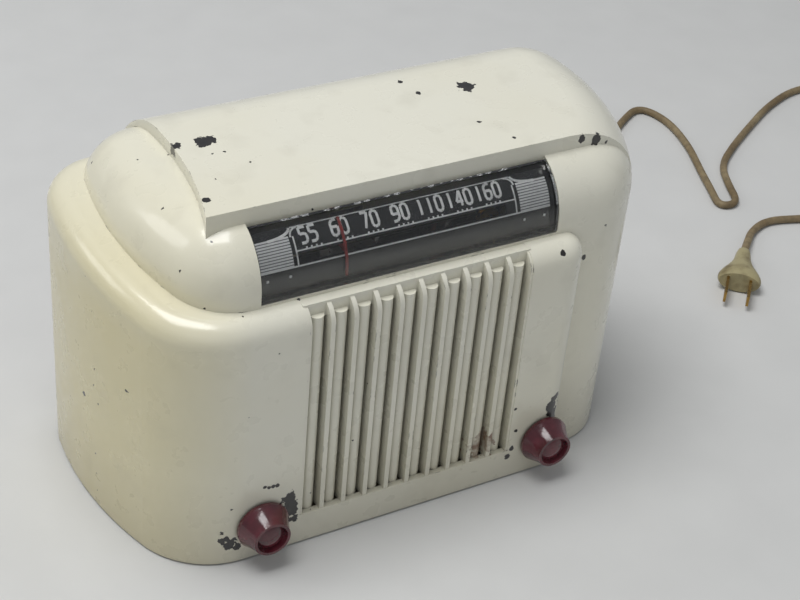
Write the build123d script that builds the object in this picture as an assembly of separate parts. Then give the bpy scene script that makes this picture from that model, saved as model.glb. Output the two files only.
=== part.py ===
from build123d import *
import math
import os

# Table radio of the late 1940s: one-piece moulded cabinet, curved dial, chassis, valves, loudspeaker, mains lead.
# All sizes are millimetres. While modelling, the cabinet's front plane is y = 0 and the floor is z = 0.
# Every node is moved by ORIGIN_SHIFT when written, so the origin is the bottom centre of the radio's box.

# ---- driving dimensions: cabinet ----
WIDTH = 272.0
DEPTH = 134.0
HEIGHT = 170.0
WALL = 3.0
BASE_Z = 1.0
SLAB_RISE = 6.0
SLAB_FRONT_SETBACK = 29.0
SLAB_LEFT_FRONT = 40.7
SLAB_LEFT_MIDDLE = 49.4
SLAB_LEFT_BACK = 43.4
SLAB_ROUND = 32.0
HOOD_SETBACK = 11.0
HOOD_SIDE_SETBACK = 16.5
HOOD_ROUND = 26.0
LEDGE_FRONT_DROP = 38.5
LEDGE_BACK_DROP = 23.0
LEDGE_ROUND = 10.0
APRON_END_X = 82.0
APRON_CORNER_R = 40.0
APRON_SIDE_R = 180.0
HOOD_CORNER_R = 30.0
HOOD_SIDE_R = 165.0
RIGHT_CORNER_R = 32.6
RIGHT_SIDE_R = 120.0
WIDEST_Y = 88.0
BACK_ROUND = 27.0
REBATE_STEP = 7.0
FIT = 0.4
EPS = 0.05

# ---- grille, baffle and loudspeaker ----
CENTRE_X = -4.5
GRILLE_WIDTH = 110.6
GRILLE_BOTTOM = 17.5
FLUTES = 10
FIN_THICK = 2.2
FLUTE_WIDTH = 6.6
FIN_BACK = 9.5
CLOTH_THICK = 0.5
BAFFLE_THICK = 3.0
SPEAKER_R = 41.0
SPEAKER_DEPTH = 40.0
MAGNET_R = 17.0
MAGNET_LENGTH = 14.0

# ---- dial ----
DIAL_WIDTH = 146.5
DIAL_BOTTOM_RISE = 1.0
LENS_THICK = 1.5
SCALE_GAP = 3.5
SCALE_THICK = 1.0
POINTER_TRAVEL_START = -55.1
DRUM_R = 30.0
PULLEY_R = 5.0
RAIL_R = 1.5
RAIL_Y = 30.0
DRIVE_Y = 26.5
CORD_R = 0.4
TUNING_TURN = 180.0
TUNING_REST = 36.0

# ---- controls ----
KNOB_SPACING = 149.0
KNOB_Z = 20.0
KNOB_OUT = 12.0
KNOB_SKIRT_R = 12.5
KNOB_FRONT_R = 8.8
KNOB_GAP = 1.0
SHAFT_R = 3.0
SHAFT_CLEAR = 0.05
BUSH_R = 4.6
NUT_R = 7.0
POT_R = 11.5
DRIVE_R = 3.4

# ---- chassis ----
CHASSIS_LEFT_GAP = 36.0
CHASSIS_RIGHT_GAP = 33.0
CHASSIS_FRONT = 20.0
CHASSIS_BACK_GAP = 26.0
CHASSIS_BOTTOM = 8.0
CHASSIS_TOP = 40.0
SHEET = 1.2
GANG_X = 77.0
GANG_Z = 78.0
GANG_FRONT = 40.0
GANG_LENGTH = 36.0
GANG_PLATE_R = 16.0
VALVE_R = 14.0
VALVE_HEIGHT = 62.0
SCREW_R = 1.9
BOSS_R = 5.5

# ---- mains lead ----
LEAD_D = 4.5
LEAD_Z = 2.35
EXIT_X = 62.0
EXIT_Z = 25.0
COIL_CENTRE = (470.0, 195.0)
COIL_R = 25.0
COIL_HALF_WIDTH = 7.0
COIL_HEIGHT = 13.8
PLUG_LENGTH = 32.0
BLADE_LENGTH = 17.0
BLADE_PITCH = 12.7

# ---- places worked out from the above ----
LEFT = -WIDTH / 2
RIGHT = WIDTH / 2
HOOD_TOP = HEIGHT - SLAB_RISE
HOOD_LEFT = LEFT + HOOD_SIDE_SETBACK
LEDGE_FRONT = HEIGHT - LEDGE_FRONT_DROP
LEDGE_BACK = HEIGHT - LEDGE_BACK_DROP
ROUND_Y = HOOD_SETBACK + HOOD_ROUND
ROUND_Z = HOOD_TOP - HOOD_ROUND
COVER_THICK = 2.5
COVER_FRONT = DEPTH - COVER_THICK - 2.0
COVER_BACK = COVER_FRONT + COVER_THICK
CAVITY_BACK = COVER_FRONT - WALL
REBATE_LEFT = LEFT + BACK_ROUND + 1.0
REBATE_RIGHT = RIGHT - BACK_ROUND - 1.0
REBATE_BOTTOM = BASE_Z + 3.0
REBATE_TOP = HOOD_TOP - HOOD_ROUND - 1.0
FLOOR_TOP = BASE_Z + WALL
GRILLE_LEFT = CENTRE_X - GRILLE_WIDTH / 2
GRILLE_RIGHT = CENTRE_X + GRILLE_WIDTH / 2
PITCH = GRILLE_WIDTH / FLUTES
BAFFLE_FRONT = FIN_BACK + CLOTH_THICK
BAFFLE_BACK = BAFFLE_FRONT + BAFFLE_THICK
SPEAKER_Z = CHASSIS_TOP + SPEAKER_R + 1.0
VOLUME_X = CENTRE_X - KNOB_SPACING / 2
TUNING_X = CENTRE_X + KNOB_SPACING / 2
CHASSIS_LEFT = LEFT + CHASSIS_LEFT_GAP
CHASSIS_RIGHT = RIGHT - CHASSIS_RIGHT_GAP
CHASSIS_BACK = DEPTH - CHASSIS_BACK_GAP
DIAL_LEFT = CENTRE_X - DIAL_WIDTH / 2
DIAL_RIGHT = CENTRE_X + DIAL_WIDTH / 2
DIAL_BOTTOM = LEDGE_FRONT + DIAL_BOTTOM_RISE
LENS_INNER_R = HOOD_ROUND - WALL - LENS_THICK
SCALE_OUTER_R = LENS_INNER_R - SCALE_GAP + 1.5
POINTER_R = SCALE_OUTER_R + 0.7
POINTER_TRAVEL = math.radians(TUNING_TURN) * DRUM_R
POINTER_X = POINTER_TRAVEL_START + POINTER_TRAVEL * TUNING_REST / TUNING_TURN
RAIL_Z = ROUND_Z + 8.0
LEFT_PULLEY = (DIAL_LEFT + 5.0, RAIL_Z)
RIGHT_PULLEY = (DIAL_RIGHT - 12.0, RAIL_Z)
LOWER_PULLEY = (GANG_X - DRUM_R - PULLEY_R, RAIL_Z - 2 * PULLEY_R)
DIAL_SHEET_Y = RAIL_Y + 7.0
ORIGIN_SHIFT = (0.0, (KNOB_OUT - DEPTH) / 2, 0.0)


def arc(centre, start, end):
    """The shorter circular arc about centre from start to end."""
    middle = Vector(*centre)
    spread = (Vector(*start) - middle) + (Vector(*end) - middle)
    radius = (Vector(*start) - middle).length
    return ThreePointArc(start, middle + spread.normalized() * radius, end)


def plan_side(x_far, front, r_corner, r_side, back, sign, inset):
    """One end of the plan outline: corner arc then flatter side arc, both tangent, moved in by inset."""
    x_far = x_far - sign * inset
    front = front + inset
    r_corner = r_corner - inset
    r_side = r_side - inset
    y_corner = front + r_corner
    run = math.sqrt((r_side - r_corner) ** 2 - (WIDEST_Y - y_corner) ** 2)
    side_centre = (x_far - sign * r_side, WIDEST_Y)
    corner_centre = (side_centre[0] + sign * run, y_corner)
    reach = r_side / (r_side - r_corner)
    join = (
        side_centre[0] + (corner_centre[0] - side_centre[0]) * reach,
        side_centre[1] + (corner_centre[1] - side_centre[1]) * reach,
    )
    end = (side_centre[0] + sign * math.sqrt(r_side**2 - (back - WIDEST_Y) ** 2), back)
    start = (corner_centre[0], front)
    return start, end, [arc(corner_centre, start, join), arc(side_centre, join, end)]


def hood_plan(inset, back=DEPTH):
    """Plan face of the upper body, which on the right is the whole body."""
    left_start, left_end, left = plan_side(HOOD_LEFT, HOOD_SETBACK, HOOD_CORNER_R, HOOD_SIDE_R, back, -1, inset)
    right_start, right_end, right = plan_side(RIGHT, HOOD_SETBACK, RIGHT_CORNER_R, RIGHT_SIDE_R, back, 1, inset)
    edges = left + right + [Line(left_start, right_start), Line(left_end, right_end)]
    return make_face(Curve() + edges)


def apron_plan(inset, back=DEPTH):
    """Plan face of the lower layer: it wraps the left end and stops short of the right end."""
    start, end, left = plan_side(LEFT, 0.0, APRON_CORNER_R, APRON_SIDE_R, back, -1, inset)
    x_end = APRON_END_X - inset
    nose = HOOD_SETBACK + EPS
    turn = (x_end - nose, inset)
    edges = left + [
        Line(start, turn),
        arc((x_end - nose, inset + nose), turn, (x_end, inset + nose)),
        Line((x_end, inset + nose), (x_end, back)),
        Line((x_end, back), end),
    ]
    return make_face(Curve() + edges)


def hood_solid(inset, bottom, back=DEPTH):
    body = extrude(Pos(0, 0, bottom) * hood_plan(inset, back), HOOD_TOP - inset - bottom)
    corners = body.edges().filter_by(Axis.Z).filter_by(lambda e: e.center().Y > back - 1.0)
    body = fillet(corners, BACK_ROUND - inset)
    return fillet(body.faces().sort_by(Axis.Z)[-1].edges(), HOOD_ROUND - inset)


def apron_solid(inset, bottom, back=DEPTH):
    tall = extrude(Pos(0, 0, bottom) * apron_plan(inset, back), HEIGHT)
    slope = math.atan2(LEDGE_BACK - LEDGE_FRONT, DEPTH - HOOD_SETBACK)
    ledge = Plane(
        origin=(0, HOOD_SETBACK, LEDGE_FRONT - inset),
        x_dir=(1, 0, 0),
        z_dir=(0, -math.sin(slope), math.cos(slope)),
    )
    body = split(tall, bisect_by=ledge, keep=Keep.BOTTOM)
    corner = body.edges().filter_by(Axis.Z).filter_by(lambda e: e.center().Y > back - 1.0 and e.center().X < 0)
    body = fillet(corner, BACK_ROUND - inset)
    top = body.faces().sort_by(Axis.Z)[-1]
    rim = top.edges().filter_by(lambda e: e.center().X < x_cut(inset))
    return fillet(rim, LEDGE_ROUND - min(inset, LEDGE_ROUND / 2))


def x_cut(inset):
    """X beyond which an edge of the apron is its straight right-hand end."""
    return APRON_END_X - inset - 0.5


def slab_solid():
    """Flat top plate: overhangs the dial, bowed left edge, rounded down over the right side and the back."""
    right_start, right_end, right = plan_side(RIGHT, HOOD_SETBACK, RIGHT_CORNER_R, RIGHT_SIDE_R, DEPTH, 1, 0.0)
    left_front = LEFT + SLAB_LEFT_FRONT
    left_back = LEFT + SLAB_LEFT_BACK
    middle = (LEFT + SLAB_LEFT_MIDDLE, (SLAB_FRONT_SETBACK + DEPTH) / 2)
    edges = right + [
        Line(right_start, (left_front, HOOD_SETBACK)),
        Line((left_front, HOOD_SETBACK), (left_front, SLAB_FRONT_SETBACK)),
        ThreePointArc((left_front, SLAB_FRONT_SETBACK), middle, (left_back, DEPTH)),
        Line((left_back, DEPTH), right_end),
    ]
    bottom = HEIGHT - SLAB_ROUND - 6.0
    plate = extrude(Pos(0, 0, bottom) * make_face(Curve() + edges), HEIGHT - bottom)
    corner = plate.edges().filter_by(Axis.Z).filter_by(lambda e: e.center().Y > DEPTH - 1.0 and e.center().X > 0)
    plate = fillet(corner, SLAB_ROUND + 1.0)
    plate -= Pos(0, SLAB_FRONT_SETBACK, 0) * Box(
        3 * WIDTH, 3 * DEPTH, 3 * HEIGHT, align=(Align.CENTER, Align.MAX, Align.CENTER)
    )
    top = plate.faces().sort_by(Axis.Z)[-1]
    rim = top.edges().filter_by(
        lambda e: e.center().Y > DEPTH - 1.0
        or (e.center().X > RIGHT_CORNER_R and e.center().Y > SLAB_FRONT_SETBACK + 1.0)
    )
    return fillet(rim, SLAB_ROUND)


def block(x0, x1, y0, y1, z0, z1):
    """Box given by its limits."""
    size = (x1 - x0, y1 - y0, z1 - z0)
    return Pos(x0, y0, z0) * Box(*size, align=(Align.MIN, Align.MIN, Align.MIN))


def rod(x, y0, y1, z, radius):
    """Cylinder along Y from y0 to y1."""
    return Pos(x, (y0 + y1) / 2, z) * Rot(90, 0, 0) * Cylinder(radius, y1 - y0)


def post(x, y, z0, z1, radius):
    """Cylinder along Z from z0 to z1."""
    return Pos(x, y, (z0 + z1) / 2) * Cylinder(radius, z1 - z0)


def union(shapes):
    shapes = list(shapes)
    result = shapes[0]
    for shape in shapes[1:]:
        result += shape
    return result


# ---- places shared by the cabinet and what fastens to it ----
FOOT_PLACES = [(x, y) for x in (LEFT + 42.0, RIGHT - 42.0) for y in (26.0, DEPTH - 24.0)]
FOOT_R = 7.0
CHASSIS_SCREWS = [
    (x, y) for x in (CHASSIS_LEFT + 8.0, CHASSIS_RIGHT - 8.0) for y in (CHASSIS_FRONT + 26.0, CHASSIS_BACK - 26.0)
]
COVER_SCREWS = [
    (x, z)
    for x in (REBATE_LEFT + REBATE_STEP / 2, REBATE_RIGHT - REBATE_STEP / 2)
    for z in (REBATE_BOTTOM + REBATE_STEP / 2, REBATE_TOP - REBATE_STEP / 2)
]
BAFFLE_TOP = LEDGE_FRONT - LEDGE_ROUND + 2.0
BAFFLE_SCREWS = [
    (x, z) for x in (GRILLE_LEFT - 4.0, GRILLE_RIGHT + 4.0) for z in (KNOB_Z + 16.0, BAFFLE_TOP - 8.0)
]
COVER_BOSS_FRONT = CHASSIS_BACK + 1.5


def fluted_grille():
    """Fins, half-round flutes between them, cross bars behind and the head that closes the top."""
    height = LEDGE_FRONT - GRILLE_BOTTOM
    flute_top = LEDGE_FRONT - LEDGE_ROUND + 4.0
    fins = []
    flutes = []
    for i in range(FLUTES):
        x = GRILLE_LEFT + PITCH * (i + 0.5)
        stem = block(x - FLUTE_WIDTH / 2, x + FLUTE_WIDTH / 2, FIN_BACK - 3.5, FIN_BACK - 1.0,
                     GRILLE_BOTTOM - 1.0, flute_top)
        crown = Pos(x, FIN_BACK - 3.5, (GRILLE_BOTTOM + flute_top) / 2) * Cylinder(
            FLUTE_WIDTH / 2, flute_top - GRILLE_BOTTOM
        )
        flutes.append(stem + crown)
    for i in range(FLUTES + 1):
        edge = GRILLE_LEFT + PITCH * i
        fins.append(block(edge - FIN_THICK / 2, edge + FIN_THICK / 2, 0.3, FIN_BACK,
                          GRILLE_BOTTOM - 1.0, GRILLE_BOTTOM + height))
    fin_set = union(fins) & apron_solid(0.3, BASE_Z)
    bars = [
        block(GRILLE_LEFT - 1.0, GRILLE_RIGHT + 1.0, FIN_BACK - 2.0, FIN_BACK, z - 1.5, z + 1.5)
        for z in (GRILLE_BOTTOM + 1.5, GRILLE_BOTTOM + height * 0.36, GRILLE_BOTTOM + height * 0.68)
    ]
    head = block(GRILLE_LEFT - 1.0, GRILLE_RIGHT + 1.0, FIN_BACK - 3.5, HOOD_SETBACK + WALL,
                 flute_top - 2.0, LEDGE_FRONT - 0.3)
    return union(flutes + bars + [head]) + fin_set


def make_cabinet():
    outer = apron_solid(0.0, BASE_Z) + hood_solid(0.0, BASE_Z) + slab_solid()
    hollow = apron_solid(WALL, FLOOR_TOP, CAVITY_BACK) + hood_solid(WALL, FLOOR_TOP, CAVITY_BACK)
    opening = block(REBATE_LEFT + REBATE_STEP, REBATE_RIGHT - REBATE_STEP, CAVITY_BACK - 1.0, DEPTH + 1.0,
                    REBATE_BOTTOM + REBATE_STEP, REBATE_TOP - REBATE_STEP)
    rebate = block(REBATE_LEFT, REBATE_RIGHT, COVER_FRONT, DEPTH + 1.0, REBATE_BOTTOM, REBATE_TOP)
    shell = outer - hollow - opening - rebate
    recess = block(GRILLE_LEFT, GRILLE_RIGHT, -1.0, HOOD_SETBACK, GRILLE_BOTTOM, LEDGE_FRONT + 1.0)
    window = block(DIAL_LEFT, DIAL_RIGHT, HOOD_SETBACK - 2.0, SLAB_FRONT_SETBACK, DIAL_BOTTOM, HOOD_TOP)
    shell = shell - recess - window + fluted_grille()
    bosses = [post(x, y, BASE_Z + 1.0, CHASSIS_BOTTOM, BOSS_R) for x, y in CHASSIS_SCREWS]
    bosses += [rod(x, COVER_BOSS_FRONT, CAVITY_BACK + 0.5, z, BOSS_R - 2.2) for x, z in COVER_SCREWS]
    bosses += [rod(x, WALL / 2, BAFFLE_FRONT, z, 3.0) for x, z in BAFFLE_SCREWS]
    cuts = [post(x, y, BASE_Z - 1.0, CHASSIS_BOTTOM + 1.0, SCREW_R + 0.2) for x, y in CHASSIS_SCREWS]
    cuts += [post(x, y, BASE_Z - 1.0, BASE_Z + 2.6, 4.2) for x, y in CHASSIS_SCREWS]
    cuts += [post(x, y, BASE_Z - 1.0, BASE_Z + 2.0, FOOT_R) for x, y in FOOT_PLACES]
    cuts += [rod(x, COVER_BOSS_FRONT + 1.5, COVER_FRONT + 1.0, z, 1.4) for x, z in COVER_SCREWS]
    cuts += [rod(x, BAFFLE_FRONT - 6.0, BAFFLE_FRONT + 1.0, z, 1.1) for x, z in BAFFLE_SCREWS]
    cuts += [rod(x, -1.0, HOOD_SETBACK + WALL, KNOB_Z, SHAFT_R + 1.2) for x in (VOLUME_X, TUNING_X)]
    vent = 2.0
    for k in range(9):
        x = CENTRE_X - 64.0 + 16.0 * k
        cuts.append(block(x - vent, x + vent, 44.0, CHASSIS_BACK - 16.0, BASE_Z - 1.0, FLOOR_TOP + 1.0))
    return union([shell] + bosses) - union(cuts)


def dome(radius, edge, crown):
    """Arc in the profile plane from the rim at (radius, edge) to the axis at crown, centred on the axis."""
    rise = crown - edge
    ball = (radius**2 + rise**2) / (2 * abs(rise))
    sign = math.copysign(1.0, rise)
    half = math.asin(radius / ball) / 2
    middle = (ball * math.sin(half), crown - sign * ball * (1 - math.cos(half)))
    return ThreePointArc((radius, edge), middle, (0.0, crown))


def curved_section(r_outer, r_inner, bottom, top_angle):
    """Face in the YZ plane: a straight skirt below the round's centre and an arc above it."""
    a = math.radians(top_angle)
    outer_top = (ROUND_Y - r_outer * math.cos(a), ROUND_Z + r_outer * math.sin(a))
    inner_top = (ROUND_Y - r_inner * math.cos(a), ROUND_Z + r_inner * math.sin(a))
    centre = (ROUND_Y, ROUND_Z)
    outer_foot = (ROUND_Y - r_outer, ROUND_Z)
    inner_foot = (ROUND_Y - r_inner, ROUND_Z)
    edges = [
        Line((outer_foot[0], bottom), outer_foot),
        arc(centre, outer_foot, outer_top),
        Line(outer_top, inner_top),
        arc(centre, inner_top, inner_foot),
        Line(inner_foot, (inner_foot[0], bottom)),
        Line((inner_foot[0], bottom), (outer_foot[0], bottom)),
    ]
    return Plane.YZ * make_face(Curve() + edges)


def curved_plate(x0, x1, r_outer, r_inner, bottom, top_angle):
    return Pos(x0, 0, 0) * extrude(curved_section(r_outer, r_inner, bottom, top_angle), x1 - x0)


def angle_at_y(radius, y):
    """Angle of the round, in degrees, at which a radius reaches y."""
    return math.degrees(math.acos((ROUND_Y - y) / radius))


def make_dial_window():
    face_r = HOOD_ROUND - 0.3
    seat_r = HOOD_ROUND - WALL - 0.1
    front = curved_plate(DIAL_LEFT + 0.3, DIAL_RIGHT - 0.3, face_r, seat_r - 0.2, DIAL_BOTTOM + 0.3,
                         angle_at_y(seat_r - 0.2, SLAB_FRONT_SETBACK - 0.4))
    flange = curved_plate(DIAL_LEFT - 4.0, DIAL_RIGHT + 4.0, seat_r, LENS_INNER_R, DIAL_BOTTOM + 0.3,
                          angle_at_y(seat_r, SLAB_FRONT_SETBACK + 2.0))
    return front + flange


def make_dial_scale():
    plate = curved_plate(DIAL_LEFT - 2.0, DIAL_RIGHT + 2.0, SCALE_OUTER_R, SCALE_OUTER_R - SCALE_THICK,
                         DIAL_BOTTOM + 0.8, 66.0)
    slot_half = POINTER_TRAVEL / 2 + 5.0
    middle = POINTER_TRAVEL_START + POINTER_TRAVEL / 2
    slot = block(middle - slot_half, middle + slot_half, ROUND_Y - SCALE_OUTER_R - 1.0, ROUND_Y - 8.0,
                 RAIL_Z - 2.0, RAIL_Z + 2.0)
    return plate - slot


def make_dial_bracket():
    """Bent steel frame behind the dial: back sheet, forward end tabs, and two legs down to the chassis."""
    x0 = DIAL_LEFT - 2.0 - SHEET
    x1 = DIAL_RIGHT + 2.0 + SHEET
    top = HOOD_TOP - WALL - 5.5
    tab_front = ROUND_Y - SCALE_OUTER_R * math.cos(math.radians(58.0))
    sheet = block(x0, x1, DIAL_SHEET_Y, DIAL_SHEET_Y + SHEET, DIAL_BOTTOM + 1.0, top)
    tabs = [
        block(x, x + SHEET, ROUND_Y - SCALE_OUTER_R, DIAL_SHEET_Y + SHEET, DIAL_BOTTOM + 1.0, ROUND_Z + 7.0)
        + block(x, x + SHEET, tab_front, DIAL_SHEET_Y + SHEET, DIAL_BOTTOM + 1.0, top)
        for x in (x0, x1 - SHEET)
    ]
    legs = [
        block(x, x + 12.0, DIAL_SHEET_Y, DIAL_SHEET_Y + SHEET, CHASSIS_TOP, DIAL_BOTTOM + 2.0)
        + block(x, x + 12.0, DIAL_SHEET_Y - 5.0, DIAL_SHEET_Y + SHEET, CHASSIS_TOP, CHASSIS_TOP + SHEET)
        for x in (x0, DIAL_RIGHT + 2.0 + SHEET - 12.0)
    ]
    lamp_window = block(CENTRE_X - 30.0, CENTRE_X - 14.0, DIAL_SHEET_Y - 1.0, DIAL_SHEET_Y + 2 * SHEET,
                        RAIL_Z - 6.0, RAIL_Z + 6.0)
    cord_notch = block(DIAL_RIGHT, x1 + 1.0, RAIL_Y - 3.0, RAIL_Y + 3.0, DIAL_BOTTOM, ROUND_Z + 4.0)
    return union([sheet] + tabs + legs) - lamp_window - cord_notch


def make_pointer_rail():
    """Rod that the pointer carriage slides on, cranked back to the dial bracket at both ends."""
    x0 = LEFT_PULLEY[0] + PULLEY_R + 4.0
    x1 = RIGHT_PULLEY[0] - PULLEY_R - 4.0
    bar = Pos((x0 + x1) / 2, RAIL_Y, RAIL_Z) * Rot(0, 90, 0) * Cylinder(RAIL_R, x1 - x0)
    post_r = RAIL_R + 0.4
    posts = [
        rod(x, RAIL_Y - post_r, DIAL_SHEET_Y, RAIL_Z, post_r) for x in (x0 + post_r, x1 - post_r)
    ]
    return union([bar] + posts)


def make_pointer():
    """Thin needle in front of the scale, with a stem through the slot to a carriage on the rail."""
    needle = curved_plate(POINTER_X - 0.6, POINTER_X + 0.6, POINTER_R + 0.6, POINTER_R, ROUND_Z - 3.0, 62.0)
    reach = ROUND_Y - math.sqrt(POINTER_R**2 - (RAIL_Z - ROUND_Z) ** 2)
    stem = block(POINTER_X - 0.6, POINTER_X + 0.6, reach - 0.1, RAIL_Y - 3.0, RAIL_Z - 1.2, RAIL_Z + 1.2)
    carriage = block(POINTER_X - 3.5, POINTER_X + 3.5, RAIL_Y - 3.2, RAIL_Y + 3.2, RAIL_Z - 3.2, RAIL_Z + 3.2)
    clip = block(POINTER_X - 1.5, POINTER_X + 1.5, RAIL_Y + 1.0, RAIL_Y + 3.2, RAIL_Z + 3.0, RAIL_Z + 7.0)
    bore = Pos(POINTER_X, RAIL_Y, RAIL_Z) * Rot(0, 90, 0) * Cylinder(RAIL_R + 0.1, 10.0)
    return needle + stem + carriage + clip - bore


def grooved_wheel(x, y, z, radius, thick, bore, rim=1.2):
    """Disc along Y with a groove of the given radius between two flanges."""
    wheel = rod(x, y - thick / 2, y + thick / 2, z, radius + rim)
    groove = rod(x, y - 0.8, y + 0.8, z, radius + rim + 1.0) - rod(x, y - 0.8, y + 0.8, z, radius)
    return wheel - groove - rod(x, y - thick, y + thick, z, bore)


def make_pulley(place):
    return grooved_wheel(place[0], RAIL_Y, place[1], PULLEY_R - 0.75, 2.8, 1.1, 0.75)


def make_pulley_pin(place):
    """Shouldered pin riveted to the dial bracket, carrying one idler pulley."""
    pin = rod(place[0], RAIL_Y - 2.6, DIAL_SHEET_Y, place[1], 1.0)
    head = rod(place[0], RAIL_Y - 2.6, RAIL_Y - 1.8, place[1], 2.0)
    shoulder = rod(place[0], RAIL_Y + 1.8, DIAL_SHEET_Y, place[1], 2.4)
    return pin + head + shoulder


def make_drum():
    """Cord drum on the tuning capacitor's shaft: one groove for the drive, one for the pointer cord."""
    x = GANG_X
    z = GANG_Z
    front = DRIVE_Y - 1.6
    back = RAIL_Y + 1.6
    body = rod(x, front, back, z, DRUM_R + 1.0)
    for y in (DRIVE_Y, RAIL_Y):
        body -= rod(x, y - 0.8, y + 0.8, z, DRUM_R + 3.0) - rod(x, y - 0.8, y + 0.8, z, DRUM_R - 0.75)
    dish = rod(x, front - 1.0, back - 1.6, z, DRUM_R - 5.0) - rod(x, front - 2.0, back, z, 8.0)
    windows = [
        Pos(x, 0, z) * Rot(0, 120 * k, 0) * Pos(0, (front + back) / 2, 16.0) * Box(10.0, 12.0, 8.0)
        for k in range(3)
    ]
    return body - dish - union(windows) - rod(x, front - 1.0, back + 1.0, z, SHAFT_R + SHAFT_CLEAR)


def make_drum_spring():
    """Tension spring inside the drum's dish that keeps the pointer cord tight, as a plain barrel with hooks."""
    y = RAIL_Y - 0.6
    barrel = Pos(GANG_X, y - 1.2, GANG_Z - 12.0) * Rot(0, 90, 0) * Cylinder(1.5, 18.0)
    bore = Pos(GANG_X, y - 1.2, GANG_Z - 12.0) * Rot(0, 90, 0) * Cylinder(0.9, 20.0)
    hooks = [
        Pos(GANG_X + s * 9.6, y - 1.2, GANG_Z - 12.0) * Rot(0, 90, 0) * Cylinder(0.9, 2.0) for s in (-1, 1)
    ]
    anchor = rod(GANG_X + 11.4, RAIL_Y - 3.2, RAIL_Y, GANG_Z - 12.0, 0.9)
    return barrel - bore + union(hooks) + anchor


def tangent_points(c0, r0, c1, r1, side):
    """Points where an outside tangent touches two circles, on the given side of the line c0 to c1."""
    dx = c1[0] - c0[0]
    dz = c1[1] - c0[1]
    gap = math.hypot(dx, dz)
    along = math.atan2(dz, dx)
    tilt = side * math.acos((r0 - r1) / gap)
    a = along + tilt
    return (
        (c0[0] + r0 * math.cos(a), c0[1] + r0 * math.sin(a)),
        (c1[0] + r1 * math.cos(a), c1[1] + r1 * math.sin(a)),
    )


def swept_cord(edges, y):
    """Closed cord of circular section along edges drawn in the XZ plane at the given y."""
    path = Pos(0, y, 0) * (Plane.XZ.offset(0) * (Curve() + edges))
    wire = Wire(path.edges())
    section = Plane(origin=wire @ 0, z_dir=wire % 0) * Circle(CORD_R)
    return sweep(section, path=wire)


def far_arc(centre, start, end, outward):
    """Arc about centre from start to end, passing on the side that outward points to."""
    radius = math.hypot(start[0] - centre[0], start[1] - centre[1])
    length = math.hypot(outward[0], outward[1])
    middle = (centre[0] + outward[0] / length * radius, centre[1] + outward[1] / length * radius)
    return ThreePointArc(start, middle, end)


def make_drive_cord():
    """Loop from the tuning spindle up round the drum."""
    spindle = (TUNING_X, KNOB_Z)
    drum = (GANG_X, GANG_Z)
    r0 = DRIVE_R + CORD_R + 0.35
    r1 = DRUM_R
    left0, left1 = tangent_points(spindle, r0, drum, r1, 1)
    right0, right1 = tangent_points(spindle, r0, drum, r1, -1)
    edges = [
        Line(left0, left1),
        far_arc(drum, left1, right1, (drum[0] - spindle[0], drum[1] - spindle[1])),
        Line(right1, right0),
        far_arc(spindle, right0, left0, (spindle[0] - drum[0], spindle[1] - drum[1])),
    ]
    return swept_cord(edges, DRIVE_Y)


def make_pointer_cord():
    """Loop that carries the pointer: drum, lower idler, left idler, right idler and back to the drum."""
    drum = (GANG_X, GANG_Z)
    up0 = (GANG_X - DRUM_R, GANG_Z)
    up1 = (LOWER_PULLEY[0] + PULLEY_R, LOWER_PULLEY[1])
    low0 = (LOWER_PULLEY[0], LOWER_PULLEY[1] + PULLEY_R)
    low1 = (LEFT_PULLEY[0], LEFT_PULLEY[1] - PULLEY_R)
    high0 = (LEFT_PULLEY[0], LEFT_PULLEY[1] + PULLEY_R)
    high1 = (RIGHT_PULLEY[0], RIGHT_PULLEY[1] + PULLEY_R)
    down0, down1 = tangent_points(RIGHT_PULLEY, PULLEY_R, drum, DRUM_R, 1)
    edges = [
        Line(up0, up1),
        arc(LOWER_PULLEY, up1, low0),
        Line(low0, low1),
        far_arc(LEFT_PULLEY, low1, high0, (-1.0, 0.0)),
        Line(high0, high1),
        arc(RIGHT_PULLEY, high1, down0),
        Line(down0, down1),
        far_arc(drum, down1, up0, (0.0, -1.0)),
    ]
    return swept_cord(edges, RAIL_Y)


def make_knob(x):
    """Bell-shaped knob: wide skirt at the cabinet, narrower front with a raised lip round a domed button."""
    out = -KNOB_OUT
    skirt = -KNOB_GAP
    profile = [
        Line((0.0, skirt), (KNOB_SKIRT_R, skirt)),
        Line((KNOB_SKIRT_R, skirt), (KNOB_SKIRT_R, skirt - 1.6)),
        ThreePointArc((KNOB_SKIRT_R, skirt - 1.6), (KNOB_FRONT_R + 1.9, skirt - 5.2), (KNOB_FRONT_R, out)),
        Line((KNOB_FRONT_R, out), (KNOB_FRONT_R - 1.4, out)),
        Line((KNOB_FRONT_R - 1.4, out), (KNOB_FRONT_R - 2.0, out + 2.4)),
        dome(KNOB_FRONT_R - 2.0, out + 2.4, out + 0.4),
        Line((0.0, out + 0.4), (0.0, skirt)),
    ]
    body = revolve(make_face(Curve() + profile), Axis.Y)
    hollow = rod(0, skirt - 5.0, skirt + 1.0, 0, KNOB_SKIRT_R - 2.6) - rod(0, skirt - 6.0, skirt + 1.0, 0, 5.2)
    return Pos(x, 0, KNOB_Z) * (body - hollow - rod(0, out + 3.2, skirt + 1.0, 0, SHAFT_R + SHAFT_CLEAR))


def make_shaft(x, back):
    return rod(x, -KNOB_OUT + 3.4, back, KNOB_Z, SHAFT_R)


def make_bush(x, back):
    """Threaded bush through the chassis front, with a flange against its inner face."""
    sleeve = rod(x, CHASSIS_FRONT - 6.5, back, KNOB_Z, BUSH_R)
    flange = rod(x, CHASSIS_FRONT + SHEET, CHASSIS_FRONT + SHEET + 1.5, KNOB_Z, BUSH_R + 3.0)
    return sleeve + flange - rod(x, 0.0, back + 5.0, KNOB_Z, SHAFT_R + SHAFT_CLEAR)


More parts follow.
